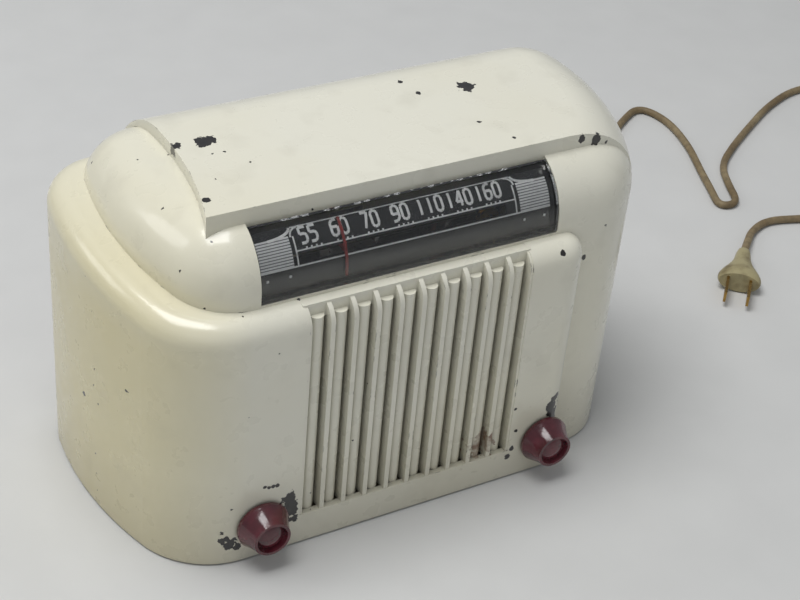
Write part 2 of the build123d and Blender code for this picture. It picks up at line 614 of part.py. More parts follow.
def make_control_nuts():
    """Hexagon nuts in front of the chassis, one on each bush."""
    nuts = []
    for x in (VOLUME_X, TUNING_X):
        blank = Plane.XZ * RegularPolygon(NUT_R, 6)
        nut = Pos(x, CHASSIS_FRONT, KNOB_Z) * extrude(blank, 2.5)
        nuts.append(nut - rod(x, 0.0, CHASSIS_FRONT + 5.0, KNOB_Z, BUSH_R + 0.05))
    return Compound(children=[n.solid() for n in nuts])


def make_volume_body():
    """Volume control with the mains switch on its back, and solder tags underneath it."""
    y0 = CHASSIS_FRONT + SHEET
    can = rod(VOLUME_X, y0, y0 + 9.0, KNOB_Z, POT_R)
    switch = rod(VOLUME_X, y0 + 9.0, y0 + 20.0, KNOB_Z, POT_R - 1.5)
    sleeve = rod(VOLUME_X, CHASSIS_FRONT - 6.5, y0 + 1.0, KNOB_Z, BUSH_R)
    tags = [block(VOLUME_X + dx - 1.2, VOLUME_X + dx + 1.2, y0 + 3.0, y0 + 3.8, KNOB_Z + POT_R - 1.0,
                  KNOB_Z + POT_R + 4.5) for dx in (-5.0, 0.0, 5.0)]
    return can + switch + sleeve + union(tags) - rod(VOLUME_X, 0.0, y0 + 6.5, KNOB_Z, SHAFT_R + SHAFT_CLEAR)


def make_spindle_plate():
    """Bracket inside the chassis that steadies the back end of the tuning spindle."""
    y = RAIL_Y + 4.0
    plate = block(TUNING_X - 9.0, TUNING_X + 9.0, y, y + SHEET, KNOB_Z - 8.0, CHASSIS_TOP - SHEET)
    foot = block(TUNING_X - 9.0, TUNING_X + 9.0, y, y + 10.0, CHASSIS_TOP - 2 * SHEET, CHASSIS_TOP - SHEET)
    return plate + foot - rod(TUNING_X, y - 1.0, y + 3.0, KNOB_Z, SHAFT_R + SHAFT_CLEAR)


VALVE_PLACES = {
    "converter": (CHASSIS_LEFT + 17.0, CHASSIS_FRONT + 36.5),
    "if_amplifier": (CHASSIS_LEFT + 17.0, CHASSIS_BACK - 17.0),
    "detector": (CHASSIS_LEFT + 76.0, CHASSIS_BACK - 18.0),
    "output": (CHASSIS_LEFT + 136.0, CHASSIS_BACK - 18.0),
    "rectifier": (GANG_X, CHASSIS_BACK - 15.8),
}
IF_PLACES = [(CHASSIS_LEFT + 46.0, CHASSIS_BACK - 18.0), (CHASSIS_LEFT + 106.0, CHASSIS_BACK - 18.0)]
FILTER_PLACE = (CHASSIS_LEFT + 48.0, CHASSIS_FRONT + 39.0)
TRANSFORMER_PLACE = (CENTRE_X + 4.0, CHASSIS_FRONT + 47.0)
SOCKET_TOP = CHASSIS_TOP + 3.0


def make_chassis():
    """Folded steel pan, open below, with in-turned feet and holes for the valves, spindles and cord."""
    outer = block(CHASSIS_LEFT, CHASSIS_RIGHT, CHASSIS_FRONT, CHASSIS_BACK, CHASSIS_BOTTOM, CHASSIS_TOP)
    inner = block(CHASSIS_LEFT + SHEET, CHASSIS_RIGHT - SHEET, CHASSIS_FRONT + SHEET, CHASSIS_BACK - SHEET,
                  CHASSIS_BOTTOM - 1.0, CHASSIS_TOP - SHEET)
    feet = [
        block(x0, x0 + 16.0, CHASSIS_FRONT, CHASSIS_BACK, CHASSIS_BOTTOM, CHASSIS_BOTTOM + SHEET)
        for x0 in (CHASSIS_LEFT, CHASSIS_RIGHT - 16.0)
    ]
    pan = outer - inner + union(feet)
    cuts = [post(x, y, CHASSIS_BOTTOM - 1.0, CHASSIS_BOTTOM + 3.0, SCREW_R + 0.2) for x, y in CHASSIS_SCREWS]
    cuts += [post(x, y, CHASSIS_TOP - 3.0, CHASSIS_TOP + 1.0, 10.5) for x, y in VALVE_PLACES.values()]
    cuts += [rod(x, CHASSIS_FRONT - 1.0, CHASSIS_FRONT + 3.0, KNOB_Z, BUSH_R + 0.05) for x in (VOLUME_X, TUNING_X)]
    cuts.append(block(TUNING_X - 16.0, TUNING_X + 26.0, DRIVE_Y - 3.0, DRIVE_Y + 2.2, CHASSIS_TOP - 3.0,
                      CHASSIS_TOP + 1.0))
    return pan - union(cuts)


def make_valve_sockets():
    """Moulded wafer sockets standing in the chassis holes, one under each valve."""
    sockets = []
    for x, y in VALVE_PLACES.values():
        wafer = post(x, y, CHASSIS_TOP, SOCKET_TOP, 15.5) + post(x, y, CHASSIS_TOP - 5.0, CHASSIS_TOP, 10.2)
        for k in range(8):
            a = math.radians(45.0 * k + 22.5)
            wafer -= post(x + 8.0 * math.cos(a), y + 8.0 * math.sin(a), CHASSIS_TOP - 6.0, SOCKET_TOP + 1.0, 1.3)
        wafer -= post(x, y, CHASSIS_TOP - 6.0, SOCKET_TOP + 1.0, 4.0)
        sockets.append(wafer.solid())
    return Compound(children=sockets)


def make_valve_bases():
    """Octal bases, one under each valve: skirt, eight pins and the locating spigot."""
    bases = []
    for x, y in VALVE_PLACES.values():
        base = post(x, y, SOCKET_TOP, SOCKET_TOP + 12.0, VALVE_R) + post(x, y, SOCKET_TOP - 6.0, SOCKET_TOP, 3.8)
        for k in range(8):
            a = math.radians(45.0 * k + 22.5)
            base += post(x + 8.0 * math.cos(a), y + 8.0 * math.sin(a), SOCKET_TOP - 6.0, SOCKET_TOP + 1.0, 1.1)
        bases.append(base.solid())
    return Compound(children=bases)


def make_valve_glass(place):
    """Straight-sided glass bulb with a domed top, closed, standing on its base."""
    x, y = place
    r = VALVE_R - 0.8
    top = VALVE_HEIGHT - 12.0
    profile = [
        Line((0.0, 0.0), (r, 0.0)),
        Line((r, 0.0), (r, top - r * 0.8)),
        dome(r, top - r * 0.8, top),
        Line((0.0, top), (0.0, 0.0)),
    ]
    bulb = revolve(Plane.XZ * make_face(Curve() + profile), Axis.Z)
    return Pos(x, y, SOCKET_TOP + 12.0) * bulb


def make_gang_frame():
    """Frame of the two-gang tuning capacitor: end plates, side straps and feet."""
    half = GANG_PLATE_R + 4.0
    y0 = GANG_FRONT
    y1 = GANG_FRONT + GANG_LENGTH
    top = GANG_Z + half
    plates = [block(GANG_X - half, GANG_X + half, y, y + SHEET, CHASSIS_TOP, top) for y in (y0, y1 - SHEET)]
    middle = y0 + GANG_LENGTH / 2
    plates.append(block(GANG_X - half, GANG_X + half, middle - 0.5, middle + 0.5, GANG_Z - half, top - 2.0))
    straps = [
        block(x, x + 3.0, y0, y1, z, z + SHEET)
        for x in (GANG_X - half, GANG_X + half - 3.0) for z in (GANG_Z - half, top - SHEET)
    ]
    feet = [block(GANG_X - half, GANG_X + half, y, y + 8.0, CHASSIS_TOP, CHASSIS_TOP + SHEET)
            for y in (y0, y1 - 8.0)]
    return union(plates + straps + feet) - rod(GANG_X, y0 - 1.0, y1 + 1.0, GANG_Z, SHAFT_R + SHAFT_CLEAR)


def gang_plate_places():
    """Y of each moving plate; the fixed plates lie midway between them."""
    places = []
    for start in (GANG_FRONT + 3.4, GANG_FRONT + GANG_LENGTH / 2 + 2.4):
        places += [start + 2.6 * k for k in range(5)]
    return places


def half_disc(radius, y, thick, above):
    """Half disc along Y about the gang's axis; above picks the upper or the lower half."""
    disc = rod(GANG_X, y, y + thick, GANG_Z, radius)
    z0 = GANG_Z if above else GANG_Z - radius - 1.0
    return disc & block(GANG_X - radius - 1.0, GANG_X + radius + 1.0, y - 1.0, y + thick + 1.0, z0, z0 + radius + 1.0)


def make_gang_rotor():
    """Shaft with its half-disc plates, turned to the resting station."""
    shaft = rod(GANG_X, DRIVE_Y - 3.0, GANG_FRONT + GANG_LENGTH + 1.5, GANG_Z, SHAFT_R)
    plates = [half_disc(GANG_PLATE_R, y, 0.7, False) for y in gang_plate_places()]
    rotor = union([shaft] + plates)
    return Pos(GANG_X, 0, GANG_Z) * Rot(0, TUNING_REST, 0) * Pos(-GANG_X, 0, -GANG_Z) * rotor


def make_gang_stator():
    """Fixed plates of the tuning capacitor, joined by two insulated bars along their outer edge."""
    inner = SHAFT_R + 2.0
    plates = []
    for y in gang_plate_places():
        y_mid = y + 1.3
        plate = half_disc(GANG_PLATE_R, y_mid, 0.7, False)
        plate += block(GANG_X - 13.0, GANG_X + 13.0, y_mid, y_mid + 0.7, GANG_Z - GANG_PLATE_R - 2.5, GANG_Z - 9.0)
        plates.append(plate - rod(GANG_X, y_mid - 1.0, y_mid + 2.0, GANG_Z, inner))
    bars = [
        block(GANG_X + s * 9.0 - 1.5, GANG_X + s * 9.0 + 1.5, GANG_FRONT + SHEET,
              GANG_FRONT + GANG_LENGTH - SHEET, GANG_Z - GANG_PLATE_R - 3.6, GANG_Z - GANG_PLATE_R - 1.6)
        for s in (-1, 1)
    ]
    return union(plates + bars) - block(GANG_X - 30.0, GANG_X + 30.0, GANG_FRONT + GANG_LENGTH / 2 - 0.55,
                                        GANG_FRONT + GANG_LENGTH / 2 + 0.55, GANG_Z - 30.0, GANG_Z + 30.0)


def make_speaker_basket():
    """Pressed frame: flat rim, conical cage with four windows, and the ring that holds the magnet."""
    z = SPEAKER_Z
    y0 = BAFFLE_BACK
    y1 = y0 + SPEAKER_DEPTH - MAGNET_LENGTH
    rim = rod(CENTRE_X, y0, y0 + 1.5, z, SPEAKER_R) - rod(CENTRE_X, y0 - 1.0, y0 + 2.0, z, SPEAKER_R - 6.0)
    big = SPEAKER_R - 5.0
    small = MAGNET_R + 3.0
    cage = Pos(CENTRE_X, (y0 + y1) / 2, z) * Rot(-90, 0, 0) * (
        Cone(big, small, y1 - y0) - Cone(big - 1.4, small - 1.4, y1 - y0 + 0.02)
    )
    windows = [
        Pos(CENTRE_X, (y0 + y1) / 2 + 1.0, z) * Rot(0, 90 * k + 45, 0) * Pos(0, 0, SPEAKER_R / 2 + 6.0)
        * Box(22.0, (y1 - y0) * 0.55, SPEAKER_R)
        for k in range(4)
    ]
    back = rod(CENTRE_X, y1 - 1.5, y1, z, small - 0.5) - rod(CENTRE_X, y1 - 3.0, y1 + 1.0, z, 6.0)
    holes = [rod(x, y0 - 1.0, y0 + 3.0, zz, SCREW_R + 0.2) for x, zz in speaker_screw_places()]
    return rim + (cage - union(windows)) + back - union(holes)


def speaker_screw_places():
    r = SPEAKER_R - 3.0
    return [
        (CENTRE_X + r * math.cos(math.radians(a)), SPEAKER_Z + r * math.sin(math.radians(a)))
        for a in (45, 135, 225, 315)
    ]


def make_speaker_cone():
    """Paper cone with its rolled edge glued to the rim and its voice-coil neck."""
    z = SPEAKER_Z
    y0 = BAFFLE_BACK
    r = SPEAKER_R - 7.2
    depth = (SPEAKER_DEPTH - MAGNET_LENGTH) * 0.62
    paper = Pos(CENTRE_X, y0 + depth / 2, z) * Rot(-90, 0, 0) * (
        Cone(r - 4.0, 8.0, depth) - Cone(r - 4.7, 7.3, depth + 0.02)
    )
    edge = rod(CENTRE_X, y0 + 0.2, y0 + 0.9, z, r) - rod(CENTRE_X, y0 - 1.0, y0 + 2.0, z, r - 4.6)
    neck = rod(CENTRE_X, y0 + depth - 0.5, y0 + SPEAKER_DEPTH - MAGNET_LENGTH - 1.7, z, 5.4) - rod(
        CENTRE_X, y0 + depth - 2.0, y0 + SPEAKER_DEPTH, z, 4.8
    )
    cap = rod(CENTRE_X, y0 + depth - 1.2, y0 + depth - 0.4, z, 8.2)
    return union([paper, edge, cap, neck])


def make_speaker_magnet():
    y1 = BAFFLE_BACK + SPEAKER_DEPTH - MAGNET_LENGTH
    return rod(CENTRE_X, y1, y1 + MAGNET_LENGTH, SPEAKER_Z, MAGNET_R)


def make_speaker_screws():
    """Four screws with their heads on the speaker rim, driven into the baffle board."""
    screws = []
    for x, z in speaker_screw_places():
        shank = rod(x, BAFFLE_FRONT + 0.3, BAFFLE_BACK + 1.5, z, SCREW_R)
        head = rod(x, BAFFLE_BACK + 1.5, BAFFLE_BACK + 3.3, z, 2.6)
        screws.append((shank + head).solid())
    return Compound(children=screws)


def make_baffle():
    """Hardboard behind the grille, with a round hole for the loudspeaker."""
    board = block(GRILLE_LEFT - 8.0, GRILLE_RIGHT + 8.0, BAFFLE_FRONT, BAFFLE_BACK, CHASSIS_TOP - 12.0, BAFFLE_TOP)
    hole = rod(CENTRE_X, BAFFLE_FRONT - 1.0, BAFFLE_BACK + 1.0, SPEAKER_Z, SPEAKER_R - 6.0)
    screws = [rod(x, BAFFLE_FRONT - 1.0, BAFFLE_BACK + 1.0, z, 1.3) for x, z in BAFFLE_SCREWS]
    mounts = [rod(x, BAFFLE_FRONT - 1.0, BAFFLE_BACK + 1.0, z, SCREW_R + 0.02) for x, z in speaker_screw_places()]
    return board - hole - union(screws + mounts)


def make_baffle_screws():
    screws = []
    for x, z in BAFFLE_SCREWS:
        shank = rod(x, BAFFLE_FRONT - 5.0, BAFFLE_BACK, z, 1.0)
        head = rod(x, BAFFLE_BACK, BAFFLE_BACK + 1.6, z, 2.6)
        screws.append((shank + head).solid())
    return Compound(children=screws)


def make_cloth():
    return block(GRILLE_LEFT + 1.0, GRILLE_RIGHT - 1.0, FIN_BACK, FIN_BACK + CLOTH_THICK, CHASSIS_TOP - 11.0,
                 BAFFLE_TOP - 1.0)


def make_if_cans():
    """Two screened coil cans with rounded tops, each standing on the chassis."""
    cans = []
    for x, y in IF_PLACES:
        can = Pos(x, y, CHASSIS_TOP + 27.0) * Box(22.0, 22.0, 54.0)
        can = fillet(can.edges().filter_by(Axis.Z), 3.0)
        can = fillet(can.faces().sort_by(Axis.Z)[-1].edges(), 2.0)
        cans.append(can.solid())
    return Compound(children=cans)


def make_filter_capacitor():
    """Electrolytic smoothing capacitor in a rolled can, clamped upright by its crimped foot."""
    x, y = FILTER_PLACE
    body = post(x, y, CHASSIS_TOP + 1.5, CHASSIS_TOP + 58.0, 11.0)
    body = fillet(body.faces().sort_by(Axis.Z)[-1].edges(), 1.5)
    return body + post(x, y, CHASSIS_TOP, CHASSIS_TOP + 2.0, 13.5)


def make_output_transformer():
    """Laminated core with its winding through it, held by a strap with two feet."""
    x, y = TRANSFORMER_PLACE
    core = Pos(x, y, CHASSIS_TOP + 14.2) * Box(30.0, 14.0, 24.0)
    winding = Pos(x, y, CHASSIS_TOP + 14.2) * Box(16.0, 24.0, 15.0)
    strap = Pos(x, y, CHASSIS_TOP + 14.2) * Box(32.0, 8.0, 26.0)
    feet = block(x - 22.0, x + 22.0, y - 4.0, y + 4.0, CHASSIS_TOP, CHASSIS_TOP + 1.6)
    return core + fillet(winding.edges(), 1.5) + strap + feet


def make_lamp_holder():
    """Clip-on lamp holder behind the dial bracket."""
    y0 = DIAL_SHEET_Y + SHEET
    x = CENTRE_X - 22.0
    clip = block(x - 11.0, x + 11.0, y0, y0 + 1.0, RAIL_Z - 9.0, RAIL_Z - 6.5)
    arm = block(x - 11.0, x - 9.0, y0, y0 + 10.0, RAIL_Z - 9.0, RAIL_Z + 5.0)
    shell = Pos(x - 9.0, y0 + 5.5, RAIL_Z) * Rot(0, 90, 0) * Cylinder(4.6, 4.0)
    return clip + arm + shell


def make_lamp():
    """Round dial lamp with its screw cap."""
    x = CENTRE_X - 22.0
    y = DIAL_SHEET_Y + SHEET + 5.5
    cap = Pos(x - 4.5, y, RAIL_Z) * Rot(0, 90, 0) * Cylinder(3.6, 5.0)
    return cap + Pos(x + 2.0, y, RAIL_Z) * Sphere(4.9)


def make_back_cover():
    """Fibreboard back, cut to the cabinet's opening, with ventilation slots and the lead's hole."""
    board = block(REBATE_LEFT + FIT, REBATE_RIGHT - FIT, COVER_FRONT, COVER_BACK, REBATE_BOTTOM + FIT,
                  REBATE_TOP - FIT)
    slots = [
        block(x - 1.6, x + 1.6, COVER_FRONT - 1.0, COVER_BACK + 1.0, z, z + 22.0)
        for x in [CENTRE_X - 70.0 + 10.0 * k for k in range(15)] for z in (CHASSIS_TOP + 18.0, CHASSIS_TOP + 52.0)
    ]
    screws = [rod(x, COVER_FRONT - 1.0, COVER_BACK + 1.0, z, 1.6) for x, z in COVER_SCREWS]
    lead = [rod(EXIT_X, COVER_FRONT - 1.0, COVER_BACK + 1.0, EXIT_Z, 5.0)]
    return board - union(slots) - union(screws + lead)


def make_cover_screws():
    screws = []
    for x, z in COVER_SCREWS:
        shank = rod(x, COVER_FRONT - 8.0, COVER_BACK, z, 1.3)
        head = rod(x, COVER_BACK, COVER_BACK + 1.8, z, 2.8)
        slot = block(x - 3.5, x + 3.5, COVER_BACK + 1.0, COVER_BACK + 3.0, z - 0.4, z + 0.4)
        screws.append((shank + head - slot).solid())
    return Compound(children=screws)


def make_loop_aerial():
    """Flat loop aerial wound on the inner face of the back cover."""
    y0 = COVER_FRONT - 1.5
    low = CHASSIS_TOP + 8.0
    high = REBATE_TOP - REBATE_STEP - 4.0
    outer = block(CENTRE_X - 84.0, CENTRE_X + 84.0, y0, COVER_FRONT, low, high)
    inner = block(CENTRE_X - 75.0, CENTRE_X + 75.0, y0 - 1.0, COVER_FRONT + 1.0, low + 9.0, high - 9.0)
    return outer - inner


def make_feet():
    pads = []
    for x, y in FOOT_PLACES:
        pads.append(post(x, y, 0.0, BASE_Z + 2.0, FOOT_R).solid())
    return Compound(children=pads)


def make_chassis_screws():
    screws = []
    for x, y in CHASSIS_SCREWS:
        head = post(x, y, BASE_Z + 0.6, BASE_Z + 2.6, 3.8)
        shank = post(x, y, BASE_Z + 2.0, CHASSIS_BOTTOM + SHEET + 4.0, SCREW_R)
        slot = block(x - 4.0, x + 4.0, y - 0.5, y + 0.5, BASE_Z, BASE_Z + 1.4)
        screws.append((head + shank - slot).solid())
    return Compound(children=screws)


def make_chassis_nuts():
    nuts = []
    for x, y in CHASSIS_SCREWS:
        z = CHASSIS_BOTTOM + SHEET
        nut = Pos(x, y, z) * extrude(RegularPolygon(4.2, 6), 3.0)
        nuts.append((nut - post(x, y, z - 1.0, z + 4.0, SCREW_R + 0.05)).solid())
    return Compound(children=nuts)


# ---- mains lead: straight runs joined by arcs, chosen by hand; z is the lead's centre line ----
RELIEF_END = COVER_BACK + 22.0
LEAD_FIRST = [
    (EXIT_X, RELIEF_END, EXIT_Z),
    (EXIT_X + 1.0, RELIEF_END + 20.0, EXIT_Z - 3.0),
    (EXIT_X + 7.0, RELIEF_END + 42.0, EXIT_Z - 16.0),
    (EXIT_X + 22.0, RELIEF_END + 64.0, LEAD_Z),
    (EXIT_X + 52.0, RELIEF_END + 84.0, LEAD_Z),
    (EXIT_X + 92.0, RELIEF_END + 92.0, LEAD_Z),
    (EXIT_X + 136.0, RELIEF_END + 84.0, LEAD_Z),
    (EXIT_X + 180.0, RELIEF_END + 80.0, LEAD_Z),
    (EXIT_X + 217.0, RELIEF_END + 92.0, LEAD_Z),
    (302.0, 264.0, LEAD_Z),
    (323.0, 276.0, LEAD_Z),
    (331.0, 254.0, LEAD_Z),
    (325.0, 222.0, LEAD_Z),
    (313.0, 192.0, LEAD_Z),
    (306.0, 172.0, LEAD_Z),
    (299.5, 156.0, LEAD_Z),
    (313.0, 154.0, LEAD_Z),
    (320.5, 174.0, LEAD_Z),
    (330.0, 194.0, LEAD_Z),
    (351.0, 210.0, LEAD_Z),
    (378.0, 227.0, LEAD_Z),
    (408.0, 245.0, LEAD_Z),
    (441.0, 257.0, LEAD_Z),
    (472.0, 251.0, LEAD_Z),
    (494.0, 231.0, LEAD_Z),
    (500.5, 203.0, LEAD_Z + 2.0),
]
LEAD_SECOND = [
    (439.5, 187.0, LEAD_Z + 2.0),
    (433.0, 160.0, LEAD_Z),
    (414.0, 137.0, LEAD_Z),
    (387.0, 122.0, LEAD_Z),
    (358.0, 119.0, LEAD_Z),
    (335.0, 127.0, LEAD_Z),
    (317.0, 132.0, LEAD_Z),
    (301.0, 126.0, LEAD_Z),
    (289.0, 115.0, LEAD_Z + 2.0),
    (277.6, 104.6, LEAD_Z + 4.3),
]
PLUG_AXIS_Z = 6.8


def bend_radii(points):
    """As large an arc at each corner as its two runs allow."""
    radii = []
    for before, here, after in zip(points, points[1:], points[2:]):
        run_in = Vector(*here) - Vector(*before)
        run_out = Vector(*after) - Vector(*here)
        turn = math.radians(run_in.get_angle(run_out))
        radii.append(0.45 * min(run_in.length, run_out.length) / math.tan(turn / 2))
    return radii


def make_lead(points, name):
    """Round lead along straight runs joined by tangent arcs."""
    radii = bend_radii(points)
    path = FilletPolyline(*points, radius=radii)
    section = Plane(origin=path @ 0, z_dir=path % 0) * Circle(LEAD_D / 2)
    tube = sweep(section, path=path)
    expected = math.pi * (LEAD_D / 2) ** 2 * path.length
    print(name, "bend radii", [round(r, 1) for r in radii])
    print(name, "length", round(path.length, 1), "volume / section x length", round(tube.volume / expected, 4))
    return tube


def make_lead_coil():
    """Outer shape of the neat coil that the unseen length is wound into."""
    x, y = COIL_CENTRE
    ring = post(x, y, 0.1, COIL_HEIGHT, COIL_R + COIL_HALF_WIDTH)
    ring -= post(x, y, -1.0, COIL_HEIGHT + 1.0, COIL_R - COIL_HALF_WIDTH)
    return fillet(ring.edges().filter_by(GeomType.CIRCLE), 3.0)


def plug_plane():
    """Frame at the plug's lead end: its z runs along the plug towards the blades, its x across them."""
    axis = Vector(-0.676, -0.737, 0.0).normalized()
    across = Vector(-axis.Y, axis.X, 0.0)
    start = Vector(*LEAD_SECOND[-1])
    return Plane(origin=(start.X, start.Y, PLUG_AXIS_Z), x_dir=across, z_dir=axis)


def make_plug_body():
    """Bell-shaped two-pin plug, narrow at the lead and flaring to the blades."""
    frame = plug_plane()
    sections = [(0.0, 3.6, 3.6), (9.0, 5.0, 4.4), (20.0, 9.0, 6.0), (PLUG_LENGTH - 2.0, 12.2, 6.5),
                (PLUG_LENGTH, 11.4, 6.0)]
    faces = [frame.offset(d) * Ellipse(rx, ry) for d, rx, ry in sections]
    body = loft(faces)
    slots = [
        frame.offset(PLUG_LENGTH - 4.0) * Pos(s * BLADE_PITCH / 2, 0, 4.0) * Box(1.5, 6.4, 8.0) for s in (-1, 1)
    ]
    return body - union(slots)


def make_plug_blades():
    frame = plug_plane()
    blades = []
    for s in (-1, 1):
        blade = frame.offset(PLUG_LENGTH - 4.0) * Pos(s * BLADE_PITCH / 2, 0, (BLADE_LENGTH + 4.0) / 2) * Box(
            1.5, 6.4, BLADE_LENGTH + 4.0
        )
        hole = frame.offset(PLUG_LENGTH + BLADE_LENGTH - 4.0) * Pos(s * BLADE_PITCH / 2, 0, 0) * Rot(
            0, 90, 0
        ) * Cylinder(1.6, 4.0)
        blades.append((blade - hole).solid())
    return Compound(children=blades)


def make_strain_relief():
    """Tapered sleeve that grips the lead where it passes through the back cover."""
    taper_end = RELIEF_END
    cone = Pos(EXIT_X, (COVER_BACK + taper_end) / 2, EXIT_Z) * Rot(-90, 0, 0) * Cone(5.8, 3.4, taper_end - COVER_BACK)
    neck = rod(EXIT_X, COVER_FRONT, COVER_BACK, EXIT_Z, 4.9)
    flange = rod(EXIT_X, COVER_FRONT - 2.0, COVER_FRONT, EXIT_Z, 6.6)
    return cone + neck + flange


NODES = {
    "cabinet": make_cabinet,
    "dial_window": make_dial_window,
    "dial_scale": make_dial_scale,
    "dial_bracket": make_dial_bracket,
    "pointer_rail": make_pointer_rail,
    "dial_pointer": make_pointer,
    "idler_pulley_left": lambda: make_pulley(LEFT_PULLEY),
    "idler_pulley_right": lambda: make_pulley(RIGHT_PULLEY),
    "idler_pulley_lower": lambda: make_pulley(LOWER_PULLEY),
    "pulley_pins": lambda: Compound(
        children=[make_pulley_pin(p).solid() for p in (LEFT_PULLEY, RIGHT_PULLEY, LOWER_PULLEY)]
    ),
    "cord_drum": make_drum,
    "drum_spring": make_drum_spring,
    "drive_cord": make_drive_cord,
    "pointer_cord": make_pointer_cord,
    "tuning_knob": lambda: make_knob(TUNING_X),
    "tuning_spindle": lambda: make_shaft(TUNING_X, RAIL_Y + 7.0)
    + rod(TUNING_X, DRIVE_Y - 2.5, DRIVE_Y + 2.5, KNOB_Z, DRIVE_R),
    "tuning_bush": lambda: make_bush(TUNING_X, CHASSIS_FRONT + SHEET + 1.5),
    "spindle_plate": make_spindle_plate,
    "volume_knob": lambda: make_knob(VOLUME_X),
    "volume_spindle": lambda: make_shaft(VOLUME_X, CHASSIS_FRONT + SHEET + 6.0),
    "volume_control": make_volume_body,
    "control_nuts": make_control_nuts,
    "chassis": make_chassis,
    "valve_sockets": make_valve_sockets,
    "valve_bases": make_valve_bases,
    "gang_frame": make_gang_frame,
    "gang_stator": make_gang_stator,
    "gang_rotor": make_gang_rotor,
    "speaker_basket": make_speaker_basket,
    "speaker_cone": make_speaker_cone,
    "speaker_magnet": make_speaker_magnet,
    "speaker_screws": make_speaker_screws,
    "baffle_board": make_baffle,
    "baffle_screws": make_baffle_screws,
    "grille_cloth": make_cloth,
    "if_cans": make_if_cans,
    "filter_capacitor": make_filter_capacitor,
    "output_transformer": make_output_transformer,
    "lamp_holder": make_lamp_holder,
    "dial_lamp": make_lamp,
    "back_cover": make_back_cover,
    "cover_screws": make_cover_screws,
    "loop_aerial": make_loop_aerial,
    "rubber_feet": make_feet,
    "chassis_screws": make_chassis_screws,
    "chassis_nuts": make_chassis_nuts,
    "strain_relief": make_strain_relief,
    "mains_lead_first": lambda: make_lead(LEAD_FIRST, "mains_lead_first"),
    "mains_lead_coil": make_lead_coil,
    "mains_lead_second": lambda: make_lead(LEAD_SECOND, "mains_lead_second"),
    "plug_body": make_plug_body,
    "plug_blades": make_plug_blades,
}
for valve, place in VALVE_PLACES.items():
    NODES["valve_" + valve] = lambda place=place: make_valve_glass(place)

os.makedirs("parts", exist_ok=True)
for node, make in NODES.items():
    export_step(Pos(*ORIGIN_SHIFT) * make(), os.path.join("parts", node + ".step"))
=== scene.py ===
# %% [markdown]
# # A painted table radio
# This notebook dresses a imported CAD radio: one moulded cabinet, a curved tuning scale, two knobs and a mains
# lead. Units are metres. The origin is under the middle of the radio, +Z is up and the listener is
# towards -Y.

# %% Start: load the frame and keep its box
import bpy
import math
from mathutils import Matrix, Vector


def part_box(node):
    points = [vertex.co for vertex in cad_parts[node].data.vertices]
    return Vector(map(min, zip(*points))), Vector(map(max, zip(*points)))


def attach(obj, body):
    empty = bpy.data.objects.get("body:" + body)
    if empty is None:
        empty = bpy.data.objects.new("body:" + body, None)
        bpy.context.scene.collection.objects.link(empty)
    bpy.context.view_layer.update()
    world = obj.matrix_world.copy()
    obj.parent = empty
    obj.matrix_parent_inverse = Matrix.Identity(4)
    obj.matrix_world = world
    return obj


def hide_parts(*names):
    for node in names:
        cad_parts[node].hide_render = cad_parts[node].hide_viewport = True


bpy.ops.wm.read_factory_settings(use_empty=True)
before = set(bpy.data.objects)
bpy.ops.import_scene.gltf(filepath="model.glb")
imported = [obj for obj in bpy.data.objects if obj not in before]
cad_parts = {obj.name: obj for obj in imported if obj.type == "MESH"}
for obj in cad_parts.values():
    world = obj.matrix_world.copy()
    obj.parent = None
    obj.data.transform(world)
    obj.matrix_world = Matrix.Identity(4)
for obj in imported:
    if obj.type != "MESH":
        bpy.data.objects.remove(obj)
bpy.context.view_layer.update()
print("nodes", len(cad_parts))

# %% [markdown]
# ## Camera first
# The camera stands in front of the radio's left corner and looks down on it. It is placed before anything
# else, because the mains lead has to know what the camera sees.

# %% Camera
camera = bpy.data.objects.new("camera", bpy.data.cameras.new("camera"))
bpy.context.collection.objects.link(camera)
bpy.context.scene.camera = camera
right = Vector((0.8756, -0.4767, 0.0770))
up = Vector((0.2265, 0.5463, 0.8064))
back = Vector((-0.4265, -0.6886, 0.5864))
camera.matrix_world = Matrix((right, up, back)).transposed().to_4x4()
camera.location = (-0.3360, -0.5752, 0.5643)
camera.data.lens = 78.7
camera.data.sensor_width = 36.0
bpy.context.scene.render.resolution_x = 800
bpy.context.scene.render.resolution_y = 600
print("camera", tuple(round(v, 3) for v in camera.location))

# %% [markdown]
# ## Shared node groups
# A node group is a small reusable shader tool with named inputs and outputs. Each one below gives only a mask
# or a value, so that every material can mix it in its own way.


